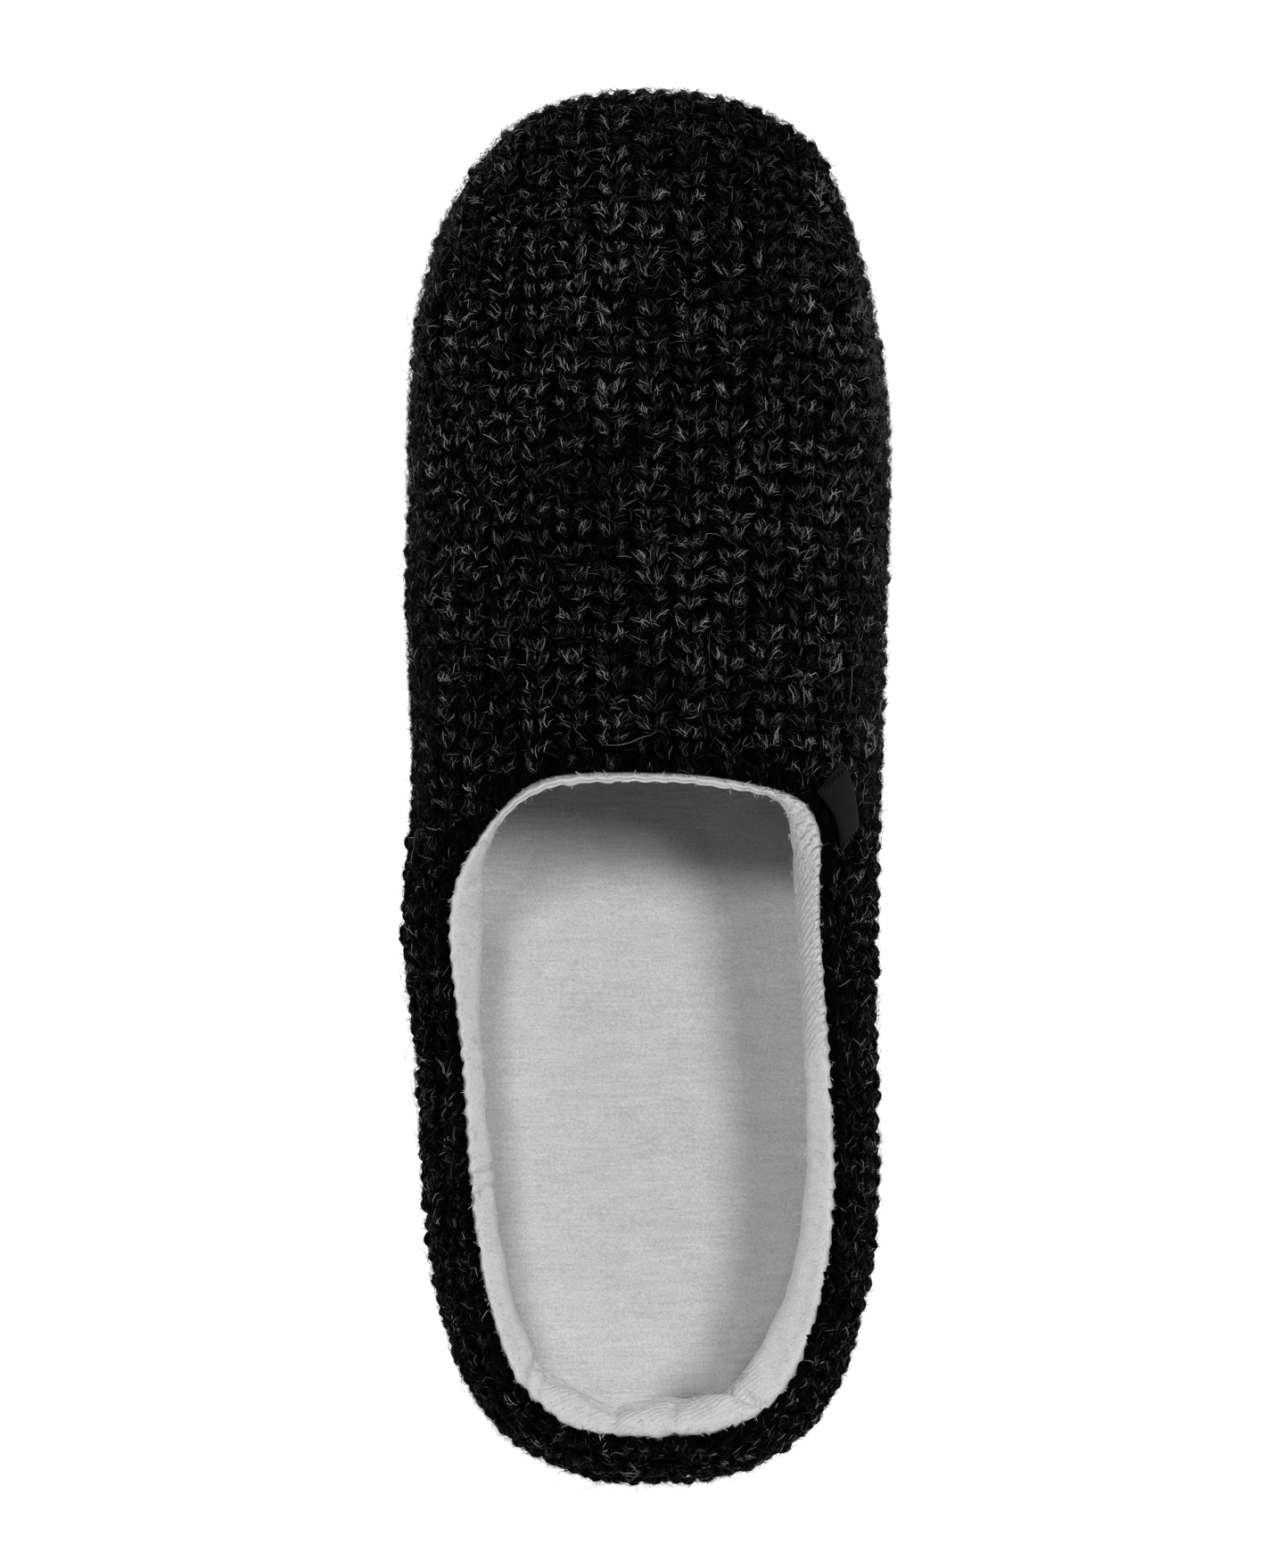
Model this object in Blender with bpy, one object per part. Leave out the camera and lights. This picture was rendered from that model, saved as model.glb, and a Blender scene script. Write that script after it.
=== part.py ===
"""A knitted house slipper for the left foot: rubber outsole, foam footbed, knitted upper,
padded fleece collar lining and a bare woven side tag.

Metres, +Z up. The toe points to +Y, the floor is z = 0 and the origin is under the middle
of the footprint's box. While the pieces are made the heel's back is at y = 0.

Every surface comes from one last: a plan outline, a side view and a dome between them.
The upper is its skin, the lining follows the upper's inside, the footbed lies in it and
the outsole follows its lower edge.
"""

import math
from collections import namedtuple

import bmesh
import bpy
import numpy as np

MM = 0.001

# The last
LENGTH = 280 * MM            # heel to toe, over the knit
BALL_WIDTH = 97 * MM         # widest, over the knit
INSTEP_HEIGHT = 74 * MM      # top of the vamp at the throat, above the floor
HEEL_ROUND = 45 * MM         # length of the rounded heel in plan
TOE_ROUND = 64 * MM          # length of the rounded toe in plan
WIDEST_RISE = 15 * MM        # widest line of the upper above the outsole's top
FEATHER_INSET = 5 * MM       # how far the upper draws in below the widest line
PLAN_FULLNESS = 2.35         # 2 is an ellipse, higher is squarer
DOME_FULLNESS = 2.3
LOWER_CURVE = 1.7            # bend of the wall below the widest line, 1 is straight

# The knitted upper
KNIT_WALL = 4 * MM
VAMP_LENGTH = 136.5 * MM     # toe tip to the throat, in plan
THROAT_DEPTH = 30 * MM       # from the throat back to where the sides run straight
COLLAR_LEAN = 8 * MM         # how far the collar stands inside the widest line

# The fleece collar lining
COLLAR_PAD = 5.5 * MM        # padded roll along the sides and the heel
THROAT_PAD = 2.6 * MM        # single fleece at the throat
PAD_FOOT = 3.2 * MM          # fleece thickness at its lower edge
SIDE_PROUD = 1.6 * MM        # fleece beyond the knit's edge along the sides
THROAT_PROUD = 3.8 * MM      # the same at the throat, where it shows as a pale line
VAMP_TUCK = 20 * MM          # how far the band goes under the vamp
THROAT_BLEND = 0.45          # part of the front over which sides turn into throat

# The footbed and the outsole
FOOTBED_THICKNESS = 6.5 * MM
FOOTBED_DISH = 1.4 * MM      # how much lower its middle is than its edge
FOOTBED_ROUND = 1 * MM       # how far its rounded edge draws in
SOLE_THICKNESS = 11 * MM     # at the heel
TOE_SPRING = 6 * MM
ARCH_RISE = 2 * MM
WELT = 1.2 * MM              # outsole ledge beyond the upper's lower edge
SIDE_RIB = 0.7 * MM          # raised rib round the outsole's side
TREAD_DEPTH = 1.5 * MM
TREAD_GROOVE = 2.4 * MM
TREAD_PITCH = 9 * MM
TREAD_BORDER = 9 * MM        # uncut edge round the tread

# The side tag
TAG_LENGTH = 16 * MM
TAG_DROP = 10 * MM           # down the side wall
TAG_THICKNESS = 0.9 * MM
TAG_MIDDLE = 133 * MM        # from the heel's back
TAG_BELOW_RIM = 0.8 * MM

GAP = 0.3 * MM               # between pieces that touch

# Seen from above, as shares of LENGTH, of half BALL_WIDTH, of BALL_WIDTH, and for the
# ridge, which is how far the crown lies to the big toe's side, of half the width there
Plan = namedtuple("Plan", "along half_width shift ridge")
PLAN = (
    Plan(0.00, 0.880, 0.018, 0.00),
    Plan(0.10, 0.876, 0.011, 0.00),
    Plan(0.16, 0.914, 0.010, 0.01),
    Plan(0.20, 0.941, 0.008, 0.02),
    Plan(0.29, 0.950, 0.001, 0.04),
    Plan(0.40, 0.982, -0.016, 0.06),
    Plan(0.50, 0.965, 0.001, 0.09),
    Plan(0.62, 0.990, -0.001, 0.12),
    Plan(0.75, 1.000, 0.005, 0.14),
    Plan(0.84, 0.976, -0.005, 0.12),
    Plan(0.90, 0.973, -0.005, 0.09),
    Plan(0.95, 1.020, 0.007, 0.05),
    Plan(1.00, 1.080, 0.004, 0.00),
)

# How far the upper's lower edge lies inside the widest line, as shares of FEATHER_INSET.
# The arch is on the right.
Feather = namedtuple("Feather", "along left right")
FEATHER = (
    Feather(0.00, 1.00, 1.00),
    Feather(0.18, 1.05, 1.10),
    Feather(0.27, 1.05, 1.40),
    Feather(0.40, 1.75, 2.10),
    Feather(0.50, 1.20, 1.80),
    Feather(0.62, 1.00, 1.20),
    Feather(0.78, 1.00, 1.00),
    Feather(1.00, 1.00, 1.00),
)

# Seen from the side, as shares of ARCH_RISE, TOE_SPRING, SOLE_THICKNESS, WIDEST_RISE and
# INSTEP_HEIGHT. Behind the throat the crown is the line that the walls lean to.
Side = namedtuple("Side", "along arch spring sole widest crown")
SIDE = (
    Side(0.00, 0.80, 0.00, 0.86, 1.00, 1.000),
    Side(0.06, 0.00, 0.00, 1.00, 1.00, 0.985),
    Side(0.18, 0.00, 0.00, 0.98, 1.00, 0.935),
    Side(0.31, 0.00, 0.00, 0.93, 1.00, 0.895),
    Side(0.42, 1.00, 0.00, 0.69, 1.00, 0.940),
    Side(0.52, 0.00, 0.00, 0.80, 1.00, 1.000),
    Side(0.66, 0.00, 0.00, 0.74, 0.98, 0.935),
    Side(0.80, 0.00, 0.00, 0.72, 0.93, 0.820),
    Side(0.90, 0.00, 0.22, 0.70, 0.82, 0.735),
    Side(1.00, 0.00, 1.00, 0.66, 0.68, 0.680),
)

# How far the collar stands inside the widest line, as shares of COLLAR_LEAN
Lean = namedtuple("Lean", "along left right")
LEAN = (
    Lean(0.00, 1.10, 1.10),
    Lean(0.11, 1.02, 0.93),
    Lean(0.21, 0.95, 0.86),
    Lean(0.29, 0.91, 0.93),
    Lean(0.40, 0.89, 1.15),
)

# The throat from its start at the straight side to its middle: across is a share of the
# collar's half width there, back a share of THROAT_DEPTH
Throat = namedtuple("Throat", "across back")
THROAT_LEFT = (
    Throat(1.000, 1.00),
    Throat(0.955, 0.74),
    Throat(0.865, 0.51),
    Throat(0.745, 0.29),
    Throat(0.590, 0.11),
    Throat(0.400, 0.02),
    Throat(0.200, 0.00),
    Throat(0.000, 0.00),
)
THROAT_RIGHT = (
    Throat(1.000, 1.00),
    Throat(1.005, 0.74),
    Throat(1.015, 0.54),
    Throat(0.985, 0.36),
    Throat(0.900, 0.21),
    Throat(0.740, 0.12),
    Throat(0.480, 0.05),
    Throat(0.240, 0.01),
    Throat(0.000, 0.00),
)

# The lining's section down from its top edge, as shares of its depth and of its swell
Pad = namedtuple("Pad", "down thickness")
PAD = (
    Pad(0.00, 0.90),
    Pad(0.25, 1.00),
    Pad(0.50, 0.95),
    Pad(0.75, 0.55),
    Pad(1.00, 0.00),
)

# The footbed's side from the bottom up: shares of its thickness and of FOOTBED_ROUND
Foam = namedtuple("Foam", "up inset")
FOOTBED_EDGE = (
    Foam(0.00, 0.5),
    Foam(0.35, 0.0),
    Foam(0.80, 0.0),
    Foam(1.00, 1.0),
)

# The outsole's side from the tread up: shares of its height, of WELT and of SIDE_RIB
Edge = namedtuple("Edge", "up welt rib")
SOLE_EDGE = (
    Edge(0.00, -0.60, 0.0),
    Edge(0.12, 0.60, 0.0),
    Edge(0.22, 1.00, 0.0),
    Edge(0.42, 1.00, 0.0),
    Edge(0.46, 1.00, 1.0),
    Edge(0.64, 1.00, 1.0),
    Edge(0.68, 1.00, 0.0),
    Edge(0.92, 1.00, 0.0),
    Edge(1.00, 0.60, 0.0),
)

STATIONS = 40                # cross rows from heel to toe
WALL_RINGS = 3               # rings of the upper below its widest line
DOME_RINGS = 12              # and above it
RING_SPREAD = 1.35           # closer together near the widest line than on top
LINING_RINGS = 6
RIM_STEPS = 4                # faces round the upper's and the lining's top edge
FINE_WALL = 24               # points of the fine section below the widest line
FINE_DOME = 160              # and above it


def curve_through(xs, ys):
    """A smooth curve through the points that never overshoots, so level stretches stay level."""
    xs, ys = np.array(xs, float), np.array(ys, float)
    run = np.diff(xs)
    slope = np.diff(ys) / run
    tangent = np.zeros_like(ys)
    for i in range(1, len(xs) - 1):
        before, after = slope[i - 1], slope[i]
        if before * after > 0:
            near, far = 2 * run[i] + run[i - 1], run[i] + 2 * run[i - 1]
            tangent[i] = (near + far) / (near / before + far / after)
    tangent[0], tangent[-1] = slope[0], slope[-1]

    def at(x):
        x = np.clip(x, xs[0], xs[-1])
        i = np.clip(np.searchsorted(xs, x) - 1, 0, len(run) - 1)
        t = (x - xs[i]) / run[i]
        rise = ys[i] * (1 - t) ** 2 * (1 + 2 * t) + ys[i + 1] * t**2 * (3 - 2 * t)
        return rise + run[i] * (tangent[i] * t * (1 - t) ** 2 - tangent[i + 1] * t**2 * (1 - t))

    return at


def column(table, name, by="along"):
    return curve_through([getattr(row, by) for row in table], [getattr(row, name) for row in table])


half_width_share = column(PLAN, "half_width")
shift_share = column(PLAN, "shift")
ridge_share = column(PLAN, "ridge")
feather_share = {-1: column(FEATHER, "left"), 1: column(FEATHER, "right")}
arch_share = column(SIDE, "arch")
spring_share = column(SIDE, "spring")
sole_share = column(SIDE, "sole")
widest_share = column(SIDE, "widest")
crown_share = column(SIDE, "crown")
lean_share = {-1: column(LEAN, "left"), 1: column(LEAN, "right")}


def full_half_width(share):
    """Half the width, before the heel and toe are rounded."""
    return half_width_share(share) * BALL_WIDTH / 2


def centre_x(share):
    return shift_share(share) * BALL_WIDTH


def end_share(share):
    """How far into the rounded heel or toe this is: 0 at its start, 1 at its tip."""
    along = share * LENGTH
    heel = (HEEL_ROUND - along) / HEEL_ROUND
    toe = (along - LENGTH + TOE_ROUND) / TOE_ROUND
    return np.clip(np.maximum(heel, toe), 0, 1)


def underside(share):
    return arch_share(share) * ARCH_RISE + spring_share(share) * TOE_SPRING


def sole_top(share):
    return underside(share) + sole_share(share) * SOLE_THICKNESS


def widest_height(share):
    return sole_top(share) + widest_share(share) * WIDEST_RISE


def dome_height(x, y):
    """Height of the last's skin above a point in plan, from its widest line inwards."""
    share = np.clip(y / LENGTH, 0, 1)
    across = np.clip((x - centre_x(share)) / full_half_width(share), -1, 1)
    across = np.abs(across - ridge_share(share) * (1 - across**2))
    out = (across**PLAN_FULLNESS + end_share(share) ** PLAN_FULLNESS) ** (1 / PLAN_FULLNESS)
    rise = (1 - np.clip(out, 0, 1) ** DOME_FULLNESS) ** (1 / DOME_FULLNESS)
    low = widest_height(share)
    return low + (crown_share(share) * INSTEP_HEIGHT - low) * rise


def unit(vectors):
    return vectors / np.linalg.norm(vectors, axis=-1, keepdims=True)


def round_loop(values):
    """Central difference round a closed loop of points."""
    return np.roll(values, -1, axis=0) - np.roll(values, 1, axis=0)


def loop_stations():
    """(side, share) round the outline: heel tip, right side, toe tip, left side."""
    shares = (1 - np.cos(np.pi * np.arange(STATIONS + 1) / STATIONS)) / 2
    shares = np.concatenate([shares, shares[-2:0:-1]])
    sides = np.where(np.arange(len(shares)) <= STATIONS, 1, -1)
    return sides, shares


def outline(sides, shares):
    rounding = (1 - end_share(shares) ** PLAN_FULLNESS) ** (1 / PLAN_FULLNESS)
    x = centre_x(shares) + sides * full_half_width(shares) * rounding
    return np.stack([x, shares * LENGTH], axis=1)


def inward_normals(loop):
    along = unit(round_loop(loop))
    return np.stack([-along[:, 1], along[:, 0]], axis=1)


def throat_arc(table, corner, middle):
    """The throat from the corner at the straight side to its middle, as a fine line in plan."""
    rows = np.array([[row.across, row.back] for row in table])
    step = np.concatenate([[0], np.cumsum(np.linalg.norm(np.diff(rows, axis=0), axis=1))])
    fine = np.linspace(0, step[-1], 120)
    across = curve_through(step, rows[:, 0])(fine)
    back = curve_through(step, rows[:, 1])(fine)
    x = middle[0] + (corner[0] - middle[0]) * across
    y = middle[1] + (corner[1] - middle[1]) * back
    return np.stack([x, y], axis=1)


def lengths_along(points):
    steps = np.linalg.norm(np.diff(points, axis=0), axis=1)
    return np.concatenate([[0], np.cumsum(steps)])


def collar_line(sides, shares, loop):
    """The collar's edge in plan, one point for each point of the outline."""
    throat_y = LENGTH - VAMP_LENGTH
    corner_share = (throat_y - THROAT_DEPTH) / LENGTH
    lean = np.where(sides > 0, lean_share[1](shares), lean_share[-1](shares)) * COLLAR_LEAN
    line = loop + inward_normals(loop) * lean[:, None]
    middle = np.array([centre_x(corner_share), throat_y])
    for side, table in ((1, THROAT_RIGHT), (-1, THROAT_LEFT)):
        half = full_half_width(corner_share) - lean_share[side](corner_share) * COLLAR_LEAN
        corner = np.array([centre_x(corner_share) + side * half, throat_y - THROAT_DEPTH])
        arc = throat_arc(table, corner, middle)
        arc_at = lengths_along(arc)
        fine_shares = np.linspace(corner_share, 1, 400)
        side_line = outline(np.full(400, side), fine_shares)
        side_at = lengths_along(side_line)
        front = (shares > corner_share) & ((sides == side) | (shares >= 1))
        part = np.interp(shares[front], fine_shares, side_at) / side_at[-1] * arc_at[-1]
        line[front, 0] = np.interp(part, arc_at, arc[:, 0])
        line[front, 1] = np.interp(part, arc_at, arc[:, 1])
    return line


def last_skin():
    """Fine sections of the upper's outside, from its lower edge to the collar: points, normals."""
    sides, shares = loop_stations()
    loop = outline(sides, shares)
    inward = inward_normals(loop)
    collar = collar_line(sides, shares, loop)
    drop = np.linspace(1, 0, FINE_WALL, endpoint=False)
    low = sole_top(shares) + GAP
    tuck = np.where(sides > 0, feather_share[1](shares), feather_share[-1](shares)) * FEATHER_INSET
    inset = tuck[:, None] * drop[None] ** LOWER_CURVE
    wall_xy = loop[:, None] + inward[:, None] * inset[..., None]
    height = widest_height(shares)
    wall_z = height[:, None] - (height - low)[:, None] * drop[None]
    part = np.linspace(0, 1, FINE_DOME) ** 2.4
    dome_xy = loop[:, None] + (collar - loop)[:, None] * part[None, :, None]
    dome_z = dome_height(dome_xy[..., 0], dome_xy[..., 1])
    wall = np.concatenate([wall_xy, wall_z[..., None]], axis=2)
    dome = np.concatenate([dome_xy, dome_z[..., None]], axis=2)
    points = np.concatenate([wall, dome], axis=1)
    up = np.gradient(points, axis=1)
    normals = unit(np.cross(round_loop(points), up))
    return points, normals


def resample(points, wanted):
    """Points of one fine section at the wanted distances from its start."""
    at = lengths_along(points[:, :3])
    return np.stack([np.interp(wanted, at, points[:, k]) for k in range(points.shape[1])], axis=1)


def section_rings(points, normals, below, above):
    """Each section read at this many places below its widest point, at it, and above it."""
    rows = []
    for section in np.concatenate([points, normals], axis=2):
        at = lengths_along(section[:, :3])
        widest = at[FINE_WALL]
        low = np.linspace(0, widest, below, endpoint=False)
        high = widest + (at[-1] - widest) * np.linspace(0, 1, above) ** RING_SPREAD
        rows.append(resample(section, np.concatenate([low, high])))
    rows = np.array(rows)
    return rows[..., :3], unit(rows[..., 3:])


def upper_walls():
    """The upper's faceted sections from the bottom up: outside, its normals, and inside, which
    starts with one more point where the inner wall reaches the lower edge's level."""
    points, normals = last_skin()
    outside, out = section_rings(points, normals, WALL_RINGS, DOME_RINGS)
    inside = outside - out * KNIT_WALL
    down = inside[:, 0] - inside[:, 1]
    reach = (outside[:, 0, 2] - inside[:, 0, 2]) / down[:, 2]
    landing = inside[:, 0] + down * reach[:, None]
    return outside, out, np.concatenate([landing[:, None], inside], axis=1)


def rim_frame(points, normals):
    """The collar's edge, its outward normal, and the way on past the edge, square to it."""
    edge, out = points[:, -1], normals[:, -1]
    onward = unit(np.cross(out, round_loop(edge)))
    return edge, out, onward


def mesh_object(name, points, faces, material):
    mesh = bpy.data.meshes.new(name)
    mesh.from_pydata([tuple(p) for p in points], [], faces)
    solid = bmesh.new()
    solid.from_mesh(mesh)
    bmesh.ops.remove_doubles(solid, verts=solid.verts, dist=0.01 * MM)
    bmesh.ops.recalc_face_normals(solid, faces=solid.faces)
    solid.to_mesh(mesh)
    solid.free()
    mesh.materials.append(material)
    mesh.shade_smooth()
    mesh.set_sharp_from_angle(angle=math.radians(45))
    made = bpy.data.objects.new(name, mesh)
    bpy.context.scene.collection.objects.link(made)
    return made


def tube_faces(around, rings):
    """Quads of closed sections joined into one closed ring of them."""
    faces = []
    for i in range(around):
        for k in range(rings):
            j, m = (i + 1) % around, (k + 1) % rings
            faces.append((i * rings + k, j * rings + k, j * rings + m, i * rings + m))
    return faces


def make_upper(material):
    """Outside wall, rounded rim, inside wall and the flat lower edge that meets the outsole."""
    outside, out, inside = upper_walls()
    edge, rim_out, onward = rim_frame(outside, out)
    turns = np.linspace(0, math.pi, RIM_STEPS + 1)[1:-1]
    rim = [
        edge + rim_out * KNIT_WALL / 2 * (math.cos(turn) - 1) + onward * KNIT_WALL / 2 * math.sin(turn)
        for turn in turns
    ]
    sections = np.concatenate([outside, np.stack(rim, axis=1), inside[:, ::-1]], axis=1)
    around, rings = sections.shape[:2]
    return mesh_object("upper", sections.reshape(-1, 3), tube_faces(around, rings), material)


def lining_depth(inside, shares, throat_part):
    """How far the lining reaches down each section of the inner wall from its top."""
    footbed = sole_top(shares) + GAP + FOOTBED_THICKNESS + GAP
    depths = []
    for section, floor, part in zip(inside, footbed, throat_part):
        at = lengths_along(section)
        rising = np.maximum.accumulate(section[:, 2])
        to_footbed = at[-1] - np.interp(floor, rising, at)
        depths.append(to_footbed * (1 - part) + min(VAMP_TUCK, to_footbed) * part)
    return np.array(depths)


def make_lining(material):
    """The padded fleece band inside the collar, from its rolled edge down to the footbed."""
    outside, out, inside = upper_walls()
    out = np.concatenate([out[:, :1], out], axis=1)
    _, shares = loop_stations()
    _, rim_out, onward = rim_frame(outside, out)
    corner_share = (LENGTH - VAMP_LENGTH - THROAT_DEPTH) / LENGTH
    front = np.clip((shares - corner_share) / (1 - corner_share) / THROAT_BLEND, 0, 1)
    throat_part = front**2 * (3 - 2 * front)
    depth = lining_depth(inside, shares, throat_part)
    pad = COLLAR_PAD + (THROAT_PAD - COLLAR_PAD) * throat_part
    foot = np.minimum(PAD_FOOT, pad)
    proud = SIDE_PROUD + (THROAT_PROUD - SIDE_PROUD) * throat_part
    swell = column(PAD, "thickness", by="down")
    down = np.linspace(0, 1, LINING_RINGS)
    thickness = foot[:, None] + (pad - foot)[:, None] * swell(down)[None]
    turns = np.linspace(0, math.pi, RIM_STEPS + 1)[:, None]
    sections = []
    for i, section in enumerate(np.concatenate([inside, out], axis=2)):
        length = lengths_along(section[:, :3])[-1]
        rows = resample(section, length - down * depth[i])
        place, away = rows[:, :3], unit(rows[:, 3:])
        outer = place - away * GAP
        inner = outer - away * thickness[i][:, None]
        radius = thickness[i][0] / 2
        middle = (outer[0] + inner[0]) / 2 + onward[i] * (proud[i] - radius)
        roll = middle + radius * (rim_out[i] * np.cos(turns) + onward[i] * np.sin(turns))
        sections.append(np.concatenate([outer[::-1], roll, inner]))
    sections = np.array(sections)
    around, rings = sections.shape[:2]
    return mesh_object("collar_lining", sections.reshape(-1, 3), tube_faces(around, rings), material)


def plate(name, rings, middles, material):
    """A closed plate: side rings from the bottom up, and caps laddered from side to side.
    middles gives, for the bottom and the top cap, the fall of the middle below the edge."""
    rings = np.array(rings)
    count, around = rings.shape[:2]
    points = [tuple(p) for ring in rings for p in ring]
    faces = [
        (k * around + i, k * around + (i + 1) % around, (k + 1) * around + (i + 1) % around, (k + 1) * around + i)
        for k in range(count - 1)
        for i in range(around)
    ]
    across = (-0.75, -0.4, 0.0, 0.4, 0.75)
    for base, fall in ((0, middles[0]), ((count - 1) * around, middles[1])):
        rows = []
        for i in range(1, STATIONS):
            right, left = base + i, base + around - i
            a, b = np.array(points[left]), np.array(points[right])
            row = [left]
            for part in across:
                spot = a + (b - a) * (part + 1) / 2
                spot[2] -= fall * (1 - part**2)
                row.append(len(points))
                points.append(tuple(spot))
            rows.append(row + [right])
        for one, two in zip(rows, rows[1:]):
            faces += [(one[k], one[k + 1], two[k + 1], two[k]) for k in range(len(one) - 1)]
        for tip, row in ((base, rows[0]), (base + STATIONS, rows[-1])):
            faces += [(tip, row[k], row[k + 1]) for k in range(len(row) - 1)]
    return mesh_object(name, points, faces, material)


def make_footbed(material):
    """The foam footbed, lying on the outsole inside the upper's lower wall."""
    _, _, inside = upper_walls()
    _, shares = loop_stations()
    low = sole_top(shares) + GAP
    rings = []
    for row in FOOTBED_EDGE:
        height = low + row.up * FOOTBED_THICKNESS
        ring = np.array([
            [np.interp(z, np.maximum.accumulate(wall[:, 2]), wall[:, k]) for k in range(2)] + [z]
            for wall, z in zip(inside, height)
        ])
        ring[:, :2] += inward_normals(ring[:, :2]) * (GAP + row.inset * FOOTBED_ROUND)
        rings.append(ring)
    return plate("insole", rings, (0.0, FOOTBED_DISH), material)


def make_outsole(material):
    """The rubber outsole: toe spring, arch, ribbed side and cross-cut tread."""
    points, _ = last_skin()
    _, shares = loop_stations()
    feather = points[:, 0, :2]
    outward = -inward_normals(feather)
    low, top = underside(shares), sole_top(shares)
    rings = []
    for row in SOLE_EDGE:
        reach = row.welt * WELT + row.rib * SIDE_RIB
        ring = np.empty((len(feather), 3))
        ring[:, :2] = feather + outward * reach
        ring[:, 2] = low + (top - low) * row.up
        rings.append(ring)
    outsole = plate("outsole", rings, (0.0, 0.0), material)
    cut = outsole.modifiers.new("tread", "BOOLEAN")
    cut.operation = "DIFFERENCE"
    cut.object = tread_cutter(feather)
    return outsole


def tread_cutter(feather):
    """Straight grooves across the flat forefoot and heel, short of the sole's edge."""
    grooves = bmesh.new()
    for start, end in ((SIDE[1].along, SIDE[3].along), (SIDE[5].along, SIDE[7].along)):
        room = (end - start) * LENGTH - TREAD_GROOVE
        count = int(room / TREAD_PITCH) + 1
        first = (start + end) / 2 * LENGTH - (count - 1) * TREAD_PITCH / 2
        for k in range(count):
            y = first + k * TREAD_PITCH
            right = np.interp(y, feather[: STATIONS + 1, 1], feather[: STATIONS + 1, 0])
            left = np.interp(y, feather[:STATIONS:-1, 1], feather[:STATIONS:-1, 0])
            box = bmesh.ops.create_cube(grooves, size=1)["verts"]
            size = (right - left - 2 * TREAD_BORDER, TREAD_GROOVE, 2 * TREAD_DEPTH)
            bmesh.ops.scale(grooves, vec=size, verts=box)
            bmesh.ops.translate(grooves, vec=((left + right) / 2, y, 0), verts=box)
    mesh = bpy.data.meshes.new("tread_cutter")
    grooves.to_mesh(mesh)
    grooves.free()
    cutter = bpy.data.objects.new("tread_cutter", mesh)
    cutter.hide_render = True
    cutter.display_type = "WIRE"
    bpy.context.scene.collection.objects.link(cutter)
    return cutter


def make_tag(material):
    """A woven tag lying on the right side wall just below the collar, near the throat."""
    points, normals = last_skin()
    edge, _, onward = rim_frame(points, normals)
    near = slice(STATIONS // 4, STATIONS * 3 // 4)
    skin = np.concatenate([points, normals], axis=2)[near]
    rim = np.concatenate([edge, onward], axis=1)[near]
    middle = np.array([np.interp(TAG_MIDDLE, rim[:, 1], rim[:, k]) for k in range(6)])
    along = np.linspace(-TAG_LENGTH / 2, TAG_LENGTH / 2, 9)
    lines = []
    for drop in np.linspace(TAG_BELOW_RIM, TAG_BELOW_RIM + TAG_DROP, 6):
        line = np.array([
            resample(section, [lengths_along(section[:, :3])[-1] - drop])[0] for section in skin
        ])
        at = lengths_along(line[:, :3])
        fine = np.linspace(0, at[-1], 600)
        aim = middle[:3] - middle[3:] * drop
        off = np.linalg.norm(resample(line, fine)[:, :3] - aim, axis=1)
        lines.append(resample(line, fine[off.argmin()] + along))
    grid = np.stack(lines, axis=1)
    place, out = grid[..., :3], unit(grid[..., 3:])
    under = place + out * GAP
    over = place + out * (GAP + TAG_THICKNESS)
    sections = np.concatenate([under, over[:, ::-1]], axis=1)
    count, rings = sections.shape[:2]
    faces = [
        (i * rings + k, (i + 1) * rings + k, (i + 1) * rings + (k + 1) % rings, i * rings + (k + 1) % rings)
        for i in range(count - 1)
        for k in range(rings)
    ]
    half = rings // 2
    for base in (0, (count - 1) * rings):
        faces += [
            (base + k, base + k + 1, base + rings - 2 - k, base + rings - 1 - k)
            for k in range(half - 1)
        ]
    return mesh_object("side_tag", sections.reshape(-1, 3), faces, material)


def material(name, colour, roughness):
    made = bpy.data.materials.new(name)
    made.use_nodes = True
    shader = made.node_tree.nodes["Principled BSDF"]
    shader.inputs["Base Color"].default_value = (*colour, 1)
    shader.inputs["Roughness"].default_value = roughness
    shader.inputs["Metallic"].default_value = 0
    return made


def centre_on_origin(pieces):
    """Moves every piece so that the origin lies under the middle of the footprint's box."""
    corners = np.array([v.co for piece in pieces for v in piece.data.vertices])
    middle = (corners.min(0) + corners.max(0)) / 2
    for piece in pieces:
        for vertex in piece.data.vertices:
            vertex.co.x -= middle[0]
            vertex.co.y -= middle[1]


def main():
    for old in list(bpy.data.objects):
        bpy.data.objects.remove(old)
    knit = material("black_marl_knit", (0.012, 0.012, 0.012), 0.95)
    fleece = material("pale_grey_fleece", (0.53, 0.53, 0.53), 0.9)
    rubber = material("black_rubber", (0.02, 0.02, 0.02), 0.7)
    woven = material("black_woven_tape", (0.01, 0.01, 0.01), 0.6)
    outsole = make_outsole(rubber)
    pieces = [
        outsole,
        outsole.modifiers["tread"].object,
        make_footbed(fleece),
        make_upper(knit),
        make_lining(fleece),
        make_tag(woven),
    ]
    centre_on_origin(pieces)


main()
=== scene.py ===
import math

import bmesh
import bpy
import numpy as np
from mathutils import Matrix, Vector
from mathutils.bvhtree import BVHTree
from mathutils.kdtree import KDTree


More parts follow.
